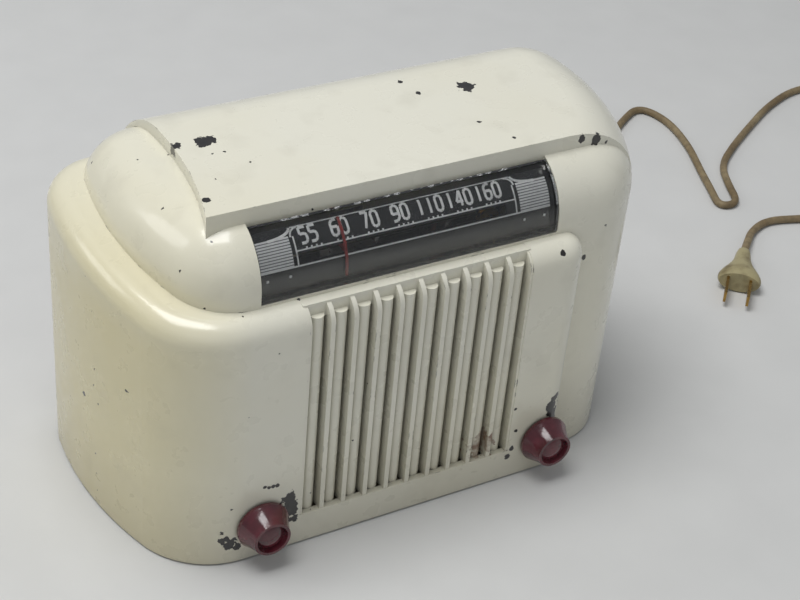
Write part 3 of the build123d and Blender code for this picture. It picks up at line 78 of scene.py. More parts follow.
# %% Small helpers for building shader nodes
class Tree:
    """Adds nodes to one tree and joins them with short calls."""

    def __init__(self, tree):
        self.nodes = tree.nodes
        self.links = tree.links

    def add(self, kind, **settings):
        node = self.nodes.new(kind)
        inputs = settings.pop("inputs", {})
        for name, value in settings.items():
            setattr(node, name, value)
        for name, value in inputs.items():
            self.put(node.inputs[name], value)
        return node

    def put(self, socket, value):
        if isinstance(value, bpy.types.NodeSocket):
            self.links.new(value, socket)
        else:
            socket.default_value = value

    def math(self, operation, a, b=0.0, clamp=False):
        node = self.add("ShaderNodeMath", operation=operation, use_clamp=clamp)
        self.put(node.inputs[0], a)
        self.put(node.inputs[1], b)
        return node.outputs[0]

    def ramp(self, value, low, high, reach=(0.0, 1.0)):
        node = self.add("ShaderNodeMapRange", clamp=True)
        self.put(node.inputs["Value"], value)
        node.inputs["From Min"].default_value = low
        node.inputs["From Max"].default_value = high
        node.inputs["To Min"].default_value = reach[0]
        node.inputs["To Max"].default_value = reach[1]
        return node.outputs["Result"]

    def mix(self, factor, a, b):
        node = self.add("ShaderNodeMix", data_type="RGBA")
        self.put(node.inputs[0], factor)
        self.put(node.inputs[6], a)
        self.put(node.inputs[7], b)
        return node.outputs[2]

    def noise(self, vector, scale, detail=3.0, roughness=0.5):
        settings = {"Scale": scale, "Detail": detail, "Roughness": roughness}
        node = self.add("ShaderNodeTexNoise", inputs=settings)
        self.put(node.inputs["Vector"], vector)
        return node.outputs["Fac"]


def new_group(name, inputs, output):
    """Node group with a position input, named value inputs and one output."""
    group = bpy.data.node_groups.new(name, "ShaderNodeTree")
    group.interface.new_socket("Position", in_out="INPUT", socket_type="NodeSocketVector")
    for label, value in inputs.items():
        socket = group.interface.new_socket(label, in_out="INPUT", socket_type="NodeSocketFloat")
        socket.default_value = value
    group.interface.new_socket(output, in_out="OUTPUT", socket_type="NodeSocketFloat")
    tree = Tree(group)
    return group, tree, tree.add("NodeGroupInput"), tree.add("NodeGroupOutput")


def use_group(tree, group, position, **values):
    node = tree.add("ShaderNodeGroup", node_tree=group)
    tree.put(node.inputs["Position"], position)
    for label, value in values.items():
        tree.put(node.inputs[label.replace("_", " ")], value)
    return node.outputs[0]


# %% Edge wear: where corners stick out and paint rubs thin
edge_wear, t, gin, gout = new_group("edge wear", {"Radius": 0.002, "Raggedness": 260.0}, "Mask")
bevel = t.add("ShaderNodeBevel", samples=4)
t.put(bevel.inputs["Radius"], gin.outputs["Radius"])
flat = t.add("ShaderNodeNewGeometry")
dot = t.add("ShaderNodeVectorMath", operation="DOT_PRODUCT")
t.put(dot.inputs[0], bevel.outputs[0])
t.put(dot.inputs[1], flat.outputs["Normal"])
sharp = t.ramp(dot.outputs["Value"], 0.995, 0.9)
ragged = t.noise(gin.outputs["Position"], gin.outputs["Raggedness"], 4.0)
t.put(gout.inputs[0], t.math("MULTIPLY", sharp, t.ramp(ragged, 0.6, 0.68)))

# %% Specks: tiny irregular dots scattered over a surface
specks, t, gin, gout = new_group("specks", {"Scale": 160.0, "Amount": 0.5, "Size": 0.16}, "Mask")
cells = t.add("ShaderNodeTexVoronoi", feature="F1")
wobble = t.add("ShaderNodeTexNoise", inputs={"Scale": 900.0, "Detail": 2.0})
t.put(wobble.inputs["Vector"], gin.outputs["Position"])
shift = t.add("ShaderNodeVectorMath", operation="MULTIPLY_ADD")
t.put(shift.inputs[0], wobble.outputs["Color"])
shift.inputs[1].default_value = (0.0016, 0.0016, 0.0016)
t.put(shift.inputs[2], gin.outputs["Position"])
t.put(cells.inputs["Vector"], shift.outputs[0])
t.put(cells.inputs["Scale"], gin.outputs["Scale"])
near = t.math("LESS_THAN", cells.outputs["Distance"], gin.outputs["Size"])
split = t.add("ShaderNodeSeparateColor")
t.put(split.inputs[0], cells.outputs["Color"])
chosen = t.math("LESS_THAN", split.outputs[0], gin.outputs["Amount"])
t.put(gout.inputs[0], t.math("MULTIPLY", near, chosen))

# %% Patch: one ragged spot around a chosen place
patch, t, gin, gout = new_group("patch", {"X": 0.0, "Y": 0.0, "Z": 0.0, "Size": 0.004, "Ragged": 0.5}, "Mask")
place = t.add("ShaderNodeCombineXYZ")
for axis in "XYZ":
    t.put(place.inputs[axis], gin.outputs[axis])
away = t.add("ShaderNodeVectorMath", operation="DISTANCE")
t.put(away.inputs[0], gin.outputs["Position"])
t.put(away.inputs[1], place.outputs[0])
fray = t.noise(gin.outputs["Position"], 230.0, 4.0, 0.6)
swing = t.math("MULTIPLY", t.math("SUBTRACT", fray, 0.5), gin.outputs["Ragged"])
reach = t.math("DIVIDE", away.outputs["Value"], gin.outputs["Size"])
part = t.math("ADD", reach, t.math("MULTIPLY", swing, 6.0))
t.put(gout.inputs[0], t.math("LESS_THAN", part, 1.0))

# %% Dust: lies on faces that look upwards
dust, t, gin, gout = new_group("dust", {"Amount": 0.5}, "Mask")
face = t.add("ShaderNodeNewGeometry")
axes = t.add("ShaderNodeSeparateXYZ")
t.put(axes.inputs[0], face.outputs["Normal"])
level = t.ramp(axes.outputs["Z"], 0.3, 1.0)
cloud = t.ramp(t.noise(gin.outputs["Position"], 45.0, 5.0), 0.35, 0.75)
t.put(gout.inputs[0], t.math("MULTIPLY", t.math("MULTIPLY", level, cloud), gin.outputs["Amount"]))
print("node groups", [g.name for g in bpy.data.node_groups])

# %% [markdown]
# ## Materials
# Colours are written as ordinary screen values and turned into the linear values that the shader wants.


# %% Material helpers
def colour(red, green, blue):
    """Screen colour from 0 to 255 as a linear RGBA tuple."""
    linear = []
    for value in (red, green, blue):
        value = value / 255
        linear.append(value / 12.92 if value <= 0.04045 else ((value + 0.055) / 1.055) ** 2.4)
    return (*linear, 1.0)


def new_material(name, **values):
    """Material with a Principled BSDF; returns it, its tree, the shader and the object position."""
    material = bpy.data.materials.new(name)
    material.use_nodes = True
    tree = Tree(material.node_tree)
    shader = tree.nodes["Principled BSDF"]
    for label, value in values.items():
        shader.inputs[label.replace("_", " ")].default_value = value
    position = tree.add("ShaderNodeTexCoord").outputs["Object"]
    return material, tree, shader, position


def bump(tree, shader, height, distance, strength=1.0):
    node = tree.add("ShaderNodeBump", inputs={"Strength": strength, "Distance": distance})
    tree.put(node.inputs["Height"], height)
    tree.put(shader.inputs["Normal"], node.outputs[0])


# %% [markdown]
# ### The painted cabinet
# The real cabinet is dark plastic under ivory paint that has yellowed and chipped. A painted image would have
# to be unwrapped and would stretch at the corners, so the paint is made from noise in the object's own space.
# Each chip is a patch at a chosen place, and the larger of all their masks shows the plastic.

# %% Painted cabinet: yellowed ivory over dark plastic, chipped to the plastic, with painted shade in the creases and on the left side
gloss = {"Roughness": 0.3, "Coat_Weight": 0.6, "Coat_Roughness": 0.12}
ivory, t, shader, where = new_material("aged_ivory_paint", **gloss)
axes = t.add("ShaderNodeSeparateXYZ", inputs={"Vector": where})
fresh = colour(230, 228, 214)
yellowed_and_shade_tone = colour(214, 202, 150)
blotch = t.noise(where, 9.0, 4.0)
# Painted shade and yellowing: the left side, most of all below the shoulder, is mixed towards the yellowed
# tone.
side = t.ramp(axes.outputs["X"], -0.085, -0.135)
side = t.math("MULTIPLY", side, t.ramp(axes.outputs["Z"], 0.150, 0.115, (0.35, 1.0)))
age_and_side_shade = t.math("ADD", t.math("MULTIPLY", side, 0.8), t.ramp(blotch, 0.4, 0.8, (0.05, 0.25)), clamp=True)
paint = t.mix(age_and_side_shade, fresh, yellowed_and_shade_tone)
grime = t.ramp(t.noise(where, 60.0, 5.0), 0.55, 0.8, (0.0, 0.14))
low = t.ramp(axes.outputs["Z"], 0.05, 0.0, (0.0, 0.35))
paint = t.mix(t.math("ADD", grime, low, clamp=True), paint, colour(150, 142, 122))
# Painted shade: the paint is mixed towards a dark tone in creases and recesses, found by ambient occlusion.
shade_occlusion = t.add("ShaderNodeAmbientOcclusion", samples=6, inputs={"Distance": 0.006})
crease_shade = t.ramp(shade_occlusion.outputs["AO"], 0.7, 0.2, (0.0, 0.3))
paint = t.mix(crease_shade, paint, colour(96, 92, 76))
cabinet_low, cabinet_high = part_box("cabinet")
SLAB_TOP = round(cabinet_high[2], 4)
APRON_FRONT = round(cabinet_low[1], 4)
# Each chip is a place and a size; the slab leaves out z and the apron leaves out y.
SLAB_CHIPS = [
    (-0.072, 0.023, 0.0042), (0.060, 0.024, 0.0040), (0.033, 0.039, 0.0012), (0.041, 0.049, 0.0012),
    (0.036, 0.027, 0.0011), (0.049, -0.006, 0.0010), (0.057, -0.024, 0.0009),
]
APRON_CHIPS = [
    (-0.066, 0.030, 0.0036), (-0.065, 0.026, 0.0034), (-0.064, 0.021, 0.0032), (-0.063, 0.017, 0.0022),
    (-0.098, 0.019, 0.0018), (-0.097, 0.015, 0.0030), (-0.094, 0.012, 0.0032), (-0.091, 0.010, 0.0020),
    (-0.078, 0.041, 0.0008), (-0.076, 0.040, 0.0010), (-0.074, 0.040, 0.0011), (-0.072, 0.040, 0.0010),
    (0.075, 0.042, 0.0026), (0.074, 0.038, 0.0036), (0.074, 0.033, 0.0036), (0.075, 0.028, 0.0032),
    (0.051, 0.014, 0.0018), (0.053, 0.018, 0.0013), (0.054, 0.029, 0.0009), (0.052, 0.043, 0.0008),
]
CURVE_CHIPS = [
    (-0.085, 0.024, 0.168, 0.0030), (-0.090, -0.020, 0.169, 0.0018), (0.088, -0.031, 0.167, 0.0018),
    (0.096, -0.031, 0.164, 0.0026), (0.102, -0.031, 0.162, 0.0016), (-0.105, -0.006, 0.162, 0.0018),
    (-0.110, 0.041, 0.155, 0.0013), (-0.115, -0.012, 0.153, 0.0016), (-0.100, 0.069, 0.160, 0.0018),
    (-0.106, 0.061, 0.156, 0.0014), (-0.098, -0.042, 0.160, 0.0022), (-0.100, -0.046, 0.152, 0.0012),
    (-0.103, -0.049, 0.146, 0.0011), (-0.109, -0.044, 0.150, 0.0011), (0.096, -0.048, 0.129, 0.0014),
    (0.067, -0.058, 0.127, 0.0012), (0.086, -0.050, 0.114, 0.0014), (-0.134, 0.010, 0.060, 0.0016),
    (-0.132, 0.020, 0.105, 0.0014), (-0.127, -0.025, 0.085, 0.0014), (-0.133, 0.050, 0.120, 0.0014),
]
CHIPS = [(x, y, SLAB_TOP, size) for x, y, size in SLAB_CHIPS]
CHIPS += [(x, APRON_FRONT, z, size) for x, z, size in APRON_CHIPS]
CHIPS += CURVE_CHIPS
worn = use_group(t, edge_wear, where, Radius=0.0006, Raggedness=130.0)
for x, y, z, size in CHIPS:
    worn = t.math("MAXIMUM", worn, use_group(t, patch, where, X=x, Y=y, Z=z, Size=size, Ragged=0.55))
dots = use_group(t, specks, where, Scale=150.0, Amount=0.16, Size=0.085)
left = t.ramp(axes.outputs["X"], 0.02, -0.11, (0.25, 1.0))
worn = t.math("MAXIMUM", worn, t.math("GREATER_THAN", t.math("MULTIPLY", dots, left), 0.5))
bare = t.mix(t.ramp(t.noise(where, 300.0), 0.3, 0.8), colour(22, 21, 22), colour(44, 40, 38))
rust = use_group(t, patch, where, X=0.036, Y=-0.058, Z=0.025, Size=0.007, Ragged=0.5)
soft_rust = t.math("MULTIPLY", rust, t.ramp(t.noise(where, 180.0, 4.0), 0.35, 0.6))
paint = t.mix(t.math("MULTIPLY", soft_rust, 0.85), paint, colour(108, 66, 34))
t.put(shader.inputs["Base Color"], t.mix(worn, paint, bare))
t.put(shader.inputs["Roughness"], t.ramp(t.noise(where, 80.0, 4.0), 0.3, 0.8, (0.24, 0.4)))
ripple = t.math("MULTIPLY", t.noise(where, 38.0, 2.0), 0.35)
height = t.math("SUBTRACT", t.math("ADD", ripple, t.math("MULTIPLY", t.noise(where, 700.0, 2.0), 0.05)), worn)
bump(t, shader, height, 0.00025)
print("cabinet paint has", len(CHIPS), "placed chips")

# %% [markdown]
# ### The knobs
# Moulded maroon plastic has a deep colour under a clear gloss. Two close tones mixed by noise keep it from
# looking like one flat colour, and the shader's coat gives the gloss.

# %% Maroon knobs: glossy moulding with hairline scratches and a little grime
gloss = {"Roughness": 0.22, "Coat_Weight": 0.5, "Coat_Roughness": 0.08}
maroon, t, shader, where = new_material("maroon_moulding", **gloss)
swirl = t.ramp(t.noise(where, 120.0, 5.0), 0.35, 0.75)
base = t.mix(swirl, colour(68, 14, 26), colour(102, 34, 46))
t.put(shader.inputs["Base Color"], t.mix(use_group(t, dust, where, Amount=0.18), base, colour(140, 104, 104)))
t.put(shader.inputs["Roughness"], t.ramp(t.noise(where, 400.0, 4.0), 0.3, 0.8, (0.1, 0.28)))
bump(t, shader, t.noise(where, 900.0, 3.0), 0.00006)

# %% [markdown]
# ### Window and print
# The window is a thin clear sheet in front of a printed scale. It could be left out, because it hardly shows,
# but real transmission gives it reflections and still lets the print and the pointer be seen.

# %% Clear window over the scale
clear, t, shader, where = new_material("clear_window", Roughness=0.04, IOR=1.46, Transmission_Weight=1.0)
shader.inputs["Base Color"].default_value = (0.97, 0.98, 0.96, 1.0)
t.put(shader.inputs["Roughness"], t.ramp(t.noise(where, 160.0, 4.0), 0.4, 0.8, (0.02, 0.12)))
bump(t, shader, t.noise(where, 60.0, 2.0), 0.00003)

# %% Scale print: gloss black, with pale and grey inks
black_ink, t, shader, where = new_material("gloss_black_ink", Roughness=0.2)
haze = t.ramp(t.noise(where, 90.0, 5.0), 0.4, 0.8)
t.put(shader.inputs["Base Color"], t.mix(haze, colour(14, 13, 18), colour(26, 25, 32)))
bump(t, shader, t.noise(where, 500.0), 0.00003)
pale_ink, t, shader, where = new_material("pale_ink", Roughness=0.45)
ink_tone = t.mix(t.noise(where, 400.0, 4.0), colour(238, 238, 240), colour(206, 206, 208))
t.put(shader.inputs["Base Color"], ink_tone)
grey_ink, t, shader, where = new_material("grey_ink", Roughness=0.4)
t.put(shader.inputs["Base Color"], t.mix(t.noise(where, 200.0, 4.0), colour(92, 92, 100), colour(70, 70, 78)))
red_enamel, t, shader, where = new_material("red_enamel", Roughness=0.3)
t.put(shader.inputs["Base Color"], t.mix(t.noise(where, 300.0), colour(150, 30, 22), colour(110, 20, 18)))

# %% [markdown]
# ### Lead and plug
# Old rubber hardens and cracks. Fine noise darkens the cracks, and a slower noise moves the tone from place
# to place, so that the lead doesn't look new.

# %% Aged tan rubber lead and yellowed plug
tan, t, shader, where = new_material("aged_tan_rubber", Roughness=0.6)
crack = t.ramp(t.noise(where, 260.0, 6.0, 0.7), 0.42, 0.7)
tone = t.mix(t.ramp(t.noise(where, 30.0, 3.0), 0.4, 0.7), colour(122, 104, 74), colour(152, 136, 104))
t.put(shader.inputs["Base Color"], t.mix(t.math("MULTIPLY", crack, 0.6), tone, colour(84, 72, 54)))
bump(t, shader, t.noise(where, 700.0, 4.0), 0.00015)
cream, t, shader, where = new_material("yellowed_plug", Roughness=0.42)
dirt = t.ramp(t.noise(where, 110.0, 6.0), 0.45, 0.72)
t.put(shader.inputs["Base Color"], t.mix(dirt, colour(166, 156, 118), colour(112, 98, 66)))
bump(t, shader, t.noise(where, 260.0, 4.0), 0.0003)


# %% [markdown]
# ### Everything behind the slots
# The works are barely seen through the grille and the slots in the back. One function makes all of their
# materials from two tones, a roughness and a bump, in place of a dozen made by hand.

# %% Metals, board, cloth and glass that show through the slots and from behind
def plain_material(name, dark, light, scale, roughness, metallic=0.0, depth=0.0001, dusty=0.0):
    """Material whose colour wanders between two tones, with a fine bump and optional dust."""
    material, tree, shader, position = new_material(name, Metallic=metallic)
    tone = tree.mix(tree.ramp(tree.noise(position, scale, 5.0), 0.35, 0.7), dark, light)
    tone = tree.mix(use_group(tree, dust, position, Amount=dusty), tone, colour(140, 132, 118))
    tree.put(shader.inputs["Base Color"], tone)
    spread = (max(0.05, roughness - 0.1), min(1.0, roughness + 0.12))
    tree.put(shader.inputs["Roughness"], tree.ramp(tree.noise(position, scale * 4, 4.0), 0.3, 0.8, spread))
    bump(tree, shader, tree.noise(position, scale * 6, 4.0), depth)
    return material


plated = plain_material("dull_plating", colour(128, 124, 108), colour(160, 156, 142),
                        40.0, 0.42, 1.0, 0.00005, 0.6)
bright = plain_material("bright_steel", colour(150, 150, 148), colour(184, 184, 182),
                        120.0, 0.28, 1.0, 0.00003)
brass = plain_material("brass", colour(142, 112, 62), colour(186, 152, 90), 90.0, 0.32, 1.0, 0.00004)
silver = plain_material("spun_aluminium", colour(168, 168, 166), colour(200, 200, 198),
                        60.0, 0.35, 0.9, 0.00004, 0.5)
phenolic = plain_material("brown_phenolic", colour(34, 20, 14), colour(56, 34, 24),
                          60.0, 0.3, 0.0, 0.00005, 0.6)
board = plain_material("fibreboard", colour(74, 50, 32), colour(108, 76, 50), 240.0, 0.75, 0.0, 0.0004, 0.2)
weave = plain_material("grille_cloth", colour(14, 13, 12), colour(36, 33, 29), 900.0, 0.9, 0.0, 0.0005)
paper = plain_material("cone_paper", colour(34, 29, 25), colour(60, 52, 46), 300.0, 0.85, 0.0, 0.0003)
enamel = plain_material("grey_enamel", colour(84, 86, 82), colour(110, 112, 108),
                        70.0, 0.4, 0.0, 0.00006, 0.5)
iron = plain_material("varnished_iron", colour(40, 34, 30), colour(72, 62, 54), 150.0, 0.5, 0.4, 0.0001, 0.5)
rubber = plain_material("black_rubber", colour(20, 20, 20), colour(40, 39, 37), 200.0, 0.8, 0.0, 0.0002)
wax = plain_material("waxed_wire", colour(104, 56, 30), colour(150, 92, 52), 400.0, 0.6, 0.0, 0.0003)
string = plain_material("waxed_cord", colour(150, 138, 104), colour(190, 178, 142), 900.0, 0.7, 0.0, 0.0002)
bulb, t, shader, where = new_material("bulb_glass", Roughness=0.05, IOR=1.45, Transmission_Weight=0.6)
flash = t.ramp(t.add("ShaderNodeSeparateXYZ", inputs={"Vector": where}).outputs["Z"], 0.085, 0.1)
t.put(shader.inputs["Base Color"], t.mix(flash, colour(150, 150, 146), colour(60, 60, 64)))
t.put(shader.inputs["Metallic"], t.math("MULTIPLY", flash, 0.8))
print("materials", len(bpy.data.materials))

# %% [markdown]
# ## Dress the CAD pieces
# Every CAD piece keeps its own shape, and only its surface changes. A table of node names and materials does
# the work of fifty separate lines.

# %% Give every CAD node its material
DRESS = {
    ivory: ["cabinet"],
    clear: ["dial_window"],
    black_ink: ["dial_scale"],
    red_enamel: ["dial_pointer"],
    maroon: ["tuning_knob", "volume_knob"],
    plated: ["dial_bracket", "chassis", "gang_frame", "spindle_plate", "lamp_holder"],
    bright: ["pointer_rail", "pulley_pins", "drum_spring", "tuning_spindle", "volume_spindle",
             "speaker_screws", "baffle_screws", "cover_screws", "chassis_screws", "chassis_nuts",
             "cord_drum"],
    brass: ["idler_pulley_left", "idler_pulley_right", "idler_pulley_lower", "tuning_bush", "control_nuts",
            "plug_blades"],
    silver: ["gang_stator", "gang_rotor", "if_cans", "filter_capacitor"],
    phenolic: ["volume_control", "valve_sockets", "valve_bases"],
    board: ["back_cover", "baffle_board"],
    weave: ["grille_cloth"],
    paper: ["speaker_cone"],
    enamel: ["speaker_basket"],
    iron: ["speaker_magnet", "output_transformer"],
    rubber: ["rubber_feet"],
    wax: ["loop_aerial"],
    string: ["drive_cord", "pointer_cord"],
    tan: ["strain_relief"],
    cream: ["plug_body"],
    bulb: ["dial_lamp", "valve_converter", "valve_if_amplifier", "valve_detector", "valve_output",
           "valve_rectifier"],
}
for material, names in DRESS.items():
    for name in names:
        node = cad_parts[name]
        node.data.materials.clear()
        node.data.materials.append(material)
bare_nodes = sorted(set(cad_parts) - set(sum(DRESS.values(), [])))
print("nodes still plain", bare_nodes)

# %% [markdown]
# ## Print on the scale
# The scale is a sheet bent round the dial's axis. Each mark is drawn flat first, as a strip of width and
# height, and then wrapped round that axis a hair in front of the sheet.

# %% Shape of the scale
AXIS_Y = -0.024
AXIS_Z = 0.138
SCALE_R = 0.0195
DIAL_LEFT = -0.0777
DIAL_RIGHT = 0.0688


def wrap(x, s, lift=0.00008):
    """Point on the bent scale: x along it, s up the sheet from the bend's start, in metres."""
    radius = SCALE_R + lift
    if s < 0:
        return (x, AXIS_Y - radius, AXIS_Z + s)
    angle = s / SCALE_R
    return (x, AXIS_Y - radius * math.cos(angle), AXIS_Z + radius * math.sin(angle))


def strip(points, width, lift=0.00008):
    """Faces of a thin ribbon along flat points, wrapped on to the scale."""
    verts = []
    faces = []
    for (x0, s0), (x1, s1) in zip(points, points[1:]):
        run = math.hypot(x1 - x0, s1 - s0)
        nx = -(s1 - s0) / run * width / 2
        ns = (x1 - x0) / run * width / 2
        steps = max(1, int(abs(s1 - s0) / 0.0012))
        for k in range(steps):
            a = k / steps
            b = (k + 1) / steps
            xa, sa = x0 + (x1 - x0) * a, s0 + (s1 - s0) * a
            xb, sb = x0 + (x1 - x0) * b, s0 + (s1 - s0) * b
            first = len(verts)
            verts += [wrap(xa - nx, sa - ns, lift), wrap(xb - nx, sb - ns, lift)]
            verts += [wrap(xb + nx, sb + ns, lift), wrap(xa + nx, sa + ns, lift)]
            faces.append((first, first + 1, first + 2, first + 3))
    return verts, faces


def print_piece(name, material, runs, lift=0.00008):
    """One mesh made of many ribbons; each run is (points, width)."""
    verts = []
    faces = []
    for points, width in runs:
        v, f = strip(points, width, lift)
        faces += [tuple(i + len(verts) for i in face) for face in f]
        verts += v
    mesh = bpy.data.meshes.new(name)
    mesh.from_pydata(verts, [], faces)
    mesh.materials.append(material)
    piece = bpy.data.objects.new(name, mesh)
    bpy.context.collection.objects.link(piece)
    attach(piece, "cabinet_body")
    return piece


# %% Lines, louvres and the frame round the numerals
LINE_LOW = 0.0055
LINE_HIGH = 0.0116
FRAME_TOP = 0.0216
LOUVRE_TOP = 0.0178
LOUVRE_WIDTH = 0.0155
INNER = 0.0195
lines = [
    ([(DIAL_LEFT + INNER, LINE_HIGH), (DIAL_RIGHT - INNER, LINE_HIGH)], 0.0006),
    ([(DIAL_LEFT + 0.002, LINE_LOW), (DIAL_RIGHT - 0.002, LINE_LOW)], 0.0007),
    ([(DIAL_LEFT + INNER, FRAME_TOP), (DIAL_RIGHT - INNER, FRAME_TOP)], 0.0005),
]
LOUVRES = 10
for k in range(LOUVRES + 1):
    s = LINE_LOW + 0.0004 + k * (LOUVRE_TOP - LINE_LOW - 0.0004) / LOUVRES
    lines.append(([(DIAL_LEFT + 0.002, s), (DIAL_LEFT + 0.002 + LOUVRE_WIDTH, s)], 0.0008))
    lines.append(([(DIAL_RIGHT - 0.002 - LOUVRE_WIDTH, s), (DIAL_RIGHT - 0.002, s)], 0.0008))
for side, edge in ((1, DIAL_LEFT), (-1, DIAL_RIGHT)):
    inner = edge + side * INNER
    lines.append(([(inner, LINE_LOW), (inner, LOUVRE_TOP)], 0.0007))
    bend = [math.radians(15 * k) for k in range(7)]
    start = inner - side * 0.0010
    corner = [
        (start + side * 0.0040 * (1 - math.cos(a)), LOUVRE_TOP - 0.0002 + 0.0038 * math.sin(a)) for a in bend
    ]
    swoosh = [
        (edge + side * 0.0080 + side * 0.0110 * math.sin(a), LOUVRE_TOP + 0.0038 * (1 - math.cos(a)))
        for a in bend
    ]
    lines += [(corner, 0.0008), (swoosh, 0.0012)]
    for k in range(2):
        x = edge + side * (0.0050 + 0.0105 * k)
        lines.append(([(x - 0.0006, 0.0018), (x + 0.0006, 0.0018)], 0.0012))
MARKS = 7
FIRST_MARK = DIAL_LEFT + 0.0268
LAST_MARK = DIAL_RIGHT - 0.0318
for k in range(MARKS):
    x = FIRST_MARK + k * (LAST_MARK - FIRST_MARK) / (MARKS - 1)
    for n in range(-1, 3):
        lines.append(([(x + n * 0.0023 - 0.0004, 0.0122), (x + n * 0.0023 + 0.0004, 0.0122)], 0.0008))
print_piece("scale_lines", pale_ink, lines)
panels = [
    ([(x, LINE_LOW), (x, LOUVRE_TOP)], LOUVRE_WIDTH)
    for x in (DIAL_LEFT + 0.002 + LOUVRE_WIDTH / 2, DIAL_RIGHT - 0.002 - LOUVRE_WIDTH / 2)
]
print_piece("scale_panels", grey_ink, panels, 0.00004)
print("scale lines", len(lines))

# %% [markdown]
# ### The numerals
# The scale's numbers are tall and narrow. A text object could make them, but its flat letters would then have
# to be bent. Straight strokes are wrapped by the function that already wraps the lines.

# %% Narrow numerals, built from straight strokes
STROKES = {
    "0": [[(0, 0.3), (0, 1.7), (0.3, 2), (0.7, 2), (1, 1.7), (1, 0.3), (0.7, 0), (0.3, 0), (0, 0.3)]],
    "1": [[(0.5, 0), (0.5, 2)]],
    "4": [[(0.8, 0), (0.8, 2), (0, 0.6), (1.1, 0.6)]],
    "5": [[(1, 2), (0, 2), (0, 1.15), (0.75, 1.15), (1, 0.9), (1, 0.3), (0.7, 0), (0, 0)]],
    "6": [[(1, 2), (0.4, 2), (0, 1.6), (0, 0.3), (0.3, 0), (0.7, 0), (1, 0.3), (1, 1.1), (0, 1.1)]],
    "7": [[(0, 2), (1, 2), (0.35, 0)]],
    "9": [[(1, 0.9), (0, 0.9), (0, 1.7), (0.3, 2), (0.7, 2), (1, 1.7), (1, 0.4), (0.6, 0), (0, 0)]],
}
NUMBERS = ["55", "60", "70", "90", "110", "140", "160"]
STEP = 0.0046
DIGIT_WIDTH = 0.0030
DIGIT_HALF = 0.0033
DIGIT_FOOT = 0.0141
STROKE = 0.0012
digits = []
for k, number in enumerate(NUMBERS):
    centre = FIRST_MARK + k * (LAST_MARK - FIRST_MARK) / (len(NUMBERS) - 1)
    start = centre - (len(number) * STEP - STROKE) / 2
    for n, digit in enumerate(number):
        for stroke in STROKES[digit]:
            flat = [(start + n * STEP + px * DIGIT_WIDTH, DIGIT_FOOT + py * DIGIT_HALF) for px, py in stroke]
            digits += [([a, b], STROKE) for a, b in zip(flat, flat[1:])]
print_piece("scale_numbers", pale_ink, digits, 0.00012)
print("numbers on the scale", len(NUMBERS))

# %% [markdown]
# ## Mains lead
# The lead leaves the back cover, drops to the surface and wanders off to the right. The length that the
# camera doesn't see is wound in a coil, and the plug comes back into view. One smooth curve does it all.

# %% Route of the lead
SHIFT = 0.061
EXIT_X = 0.062
RELIEF_END = 0.154
LEAD_D = 0.0045
LEAD_Z = 0.00235
first = [
    (EXIT_X, RELIEF_END, 0.025), (EXIT_X + 0.001, RELIEF_END + 0.020, 0.022),
    (EXIT_X + 0.007, RELIEF_END + 0.042, 0.009), (EXIT_X + 0.022, RELIEF_END + 0.064, LEAD_Z),
    (EXIT_X + 0.052, RELIEF_END + 0.084, LEAD_Z), (EXIT_X + 0.092, RELIEF_END + 0.092, LEAD_Z),
    (EXIT_X + 0.136, RELIEF_END + 0.084, LEAD_Z), (EXIT_X + 0.180, RELIEF_END + 0.080, LEAD_Z),
    (EXIT_X + 0.217, RELIEF_END + 0.092, LEAD_Z), (0.302, 0.264, LEAD_Z), (0.323, 0.276, LEAD_Z),
    (0.331, 0.254, LEAD_Z), (0.325, 0.222, LEAD_Z), (0.313, 0.192, LEAD_Z), (0.306, 0.172, LEAD_Z),
    (0.2995, 0.156, LEAD_Z), (0.313, 0.154, LEAD_Z), (0.3205, 0.174, LEAD_Z), (0.330, 0.194, LEAD_Z),
    (0.351, 0.210, LEAD_Z), (0.378, 0.227, LEAD_Z), (0.408, 0.245, LEAD_Z), (0.441, 0.257, LEAD_Z),
    (0.472, 0.251, LEAD_Z), (0.494, 0.231, LEAD_Z),
]
second = [
    (0.433, 0.160, LEAD_Z), (0.414, 0.137, LEAD_Z), (0.387, 0.122, LEAD_Z), (0.358, 0.119, LEAD_Z),
    (0.335, 0.127, LEAD_Z), (0.317, 0.132, LEAD_Z), (0.301, 0.126, LEAD_Z), (0.289, 0.115, LEAD_Z + 0.002),
    (0.2776, 0.1046, LEAD_Z + 0.0043),
]
COIL_X = 0.470
COIL_Y = 0.195
RINGS = [(0.0272, 0), (0.0227, 0), (0.0205, 1), (0.0250, 1), (0.0272, 2)]
coil = []
POINTS_PER_TURN = 16
start_turn = math.atan2(first[-1][1] - COIL_Y, first[-1][0] - COIL_X)
end_turn = math.atan2(second[0][1] - COIL_Y, second[0][0] - COIL_X) + 2 * math.pi
total = POINTS_PER_TURN * len(RINGS)
sweep = -(2 * math.pi * len(RINGS) + start_turn - end_turn + 2 * math.pi)
for k in range(total + 1):
    part = k / total * len(RINGS)
    ring = min(int(part), len(RINGS) - 1)
    after = min(ring + 1, len(RINGS) - 1)
    blend = max(0.0, (part - ring - 0.7) / 0.3)
    radius = RINGS[ring][0] * (1 - blend) + RINGS[after][0] * blend
    layer = RINGS[ring][1] * (1 - blend) + RINGS[after][1] * blend
    angle = start_turn + sweep * k / total
    x = COIL_X + radius * math.cos(angle)
    y = COIL_Y + radius * math.sin(angle)
    coil.append((x, y, LEAD_Z + LEAD_D * layer))
route = [(x, y - SHIFT, z) for x, y, z in first + coil + second]
lead_curve = bpy.data.curves.new("mains_lead", "CURVE")
lead_curve.dimensions = "3D"
lead_curve.bevel_depth = LEAD_D / 2
lead_curve.bevel_resolution = 4
lead_curve.resolution_u = 6
spline = lead_curve.splines.new("NURBS")
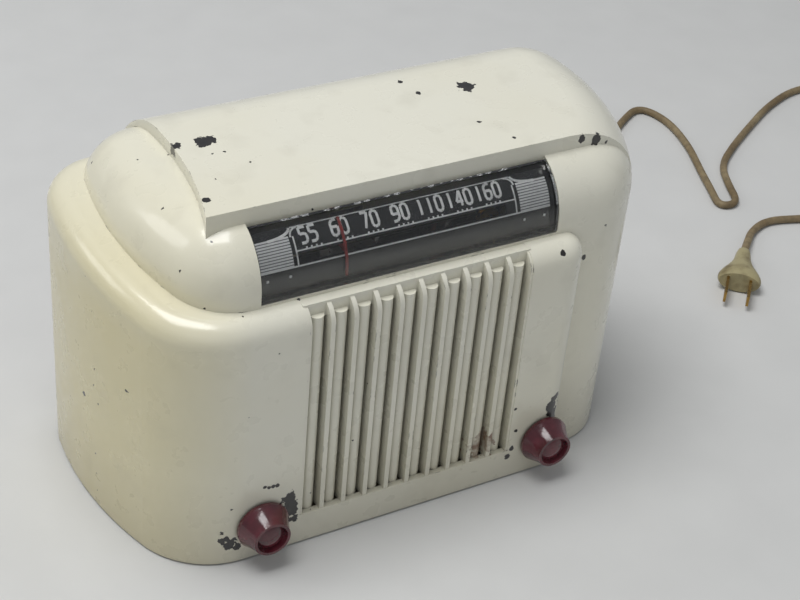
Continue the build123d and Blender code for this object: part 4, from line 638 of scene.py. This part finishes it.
spline.points.add(len(route) - 1)
for point, place in zip(spline.points, route):
    point.co = (*place, 1.0)
spline.order_u = 3
spline.use_endpoint_u = True
lead = bpy.data.objects.new("mains_lead", lead_curve)
bpy.context.collection.objects.link(lead)
lead_curve.materials.append(tan)
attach(lead, "cabinet_body")
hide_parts("mains_lead_first", "mains_lead_coil", "mains_lead_second")

# %% [markdown]
# ## Table and light
# A plain pale floor, one broad lamp above and a little to the left, and two weak fills that open the shadows.

# %% Floor
floor_mesh = bpy.data.meshes.new("floor")
floor_mesh.from_pydata([(-6, -6, 0), (6, -6, 0), (6, 6, 0), (-6, 6, 0)], [], [(0, 1, 2, 3)])
floor = bpy.data.objects.new("floor", floor_mesh)
bpy.context.collection.objects.link(floor)
table_top, t, shader, where = new_material("table_top", Roughness=0.85)
floor_tone = t.mix(t.noise(where, 30.0, 4.0), colour(206, 206, 204), colour(214, 214, 212))
t.put(shader.inputs["Base Color"], floor_tone)
floor_mesh.materials.append(table_top)


# %% Lamps and background
def lamp(name, place, size, power, tint=(1.0, 1.0, 1.0)):
    data = bpy.data.lights.new(name, "AREA")
    data.shape = "RECTANGLE"
    data.size = size
    data.size_y = size
    data.energy = power
    data.color = tint
    light = bpy.data.objects.new(name, data)
    light.location = place
    light.rotation_euler = (-Vector(place)).to_track_quat("-Z", "Y").to_euler()
    bpy.context.collection.objects.link(light)


lamp("overhead", (-0.35, 0.1, 1.65), 0.9, 17.5)
lamp("front_fill", (-0.9, -1.4, 1.0), 1.2, 1.2)
lamp("left_fill", (-1.2, 0.7, 0.9), 0.5, 2.2)
world = bpy.data.worlds.new("studio")
bpy.context.scene.world = world
world.use_nodes = True
world.node_tree.nodes["Background"].inputs[0].default_value = (0.85, 0.88, 0.92, 1.0)
world.node_tree.nodes["Background"].inputs[1].default_value = 0.35
bpy.context.scene.view_settings.view_transform = "Standard"

# %% Smooth shading on the CAD pieces
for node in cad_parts.values():
    node.data.polygons.foreach_set("use_smooth", [True] * len(node.data.polygons))
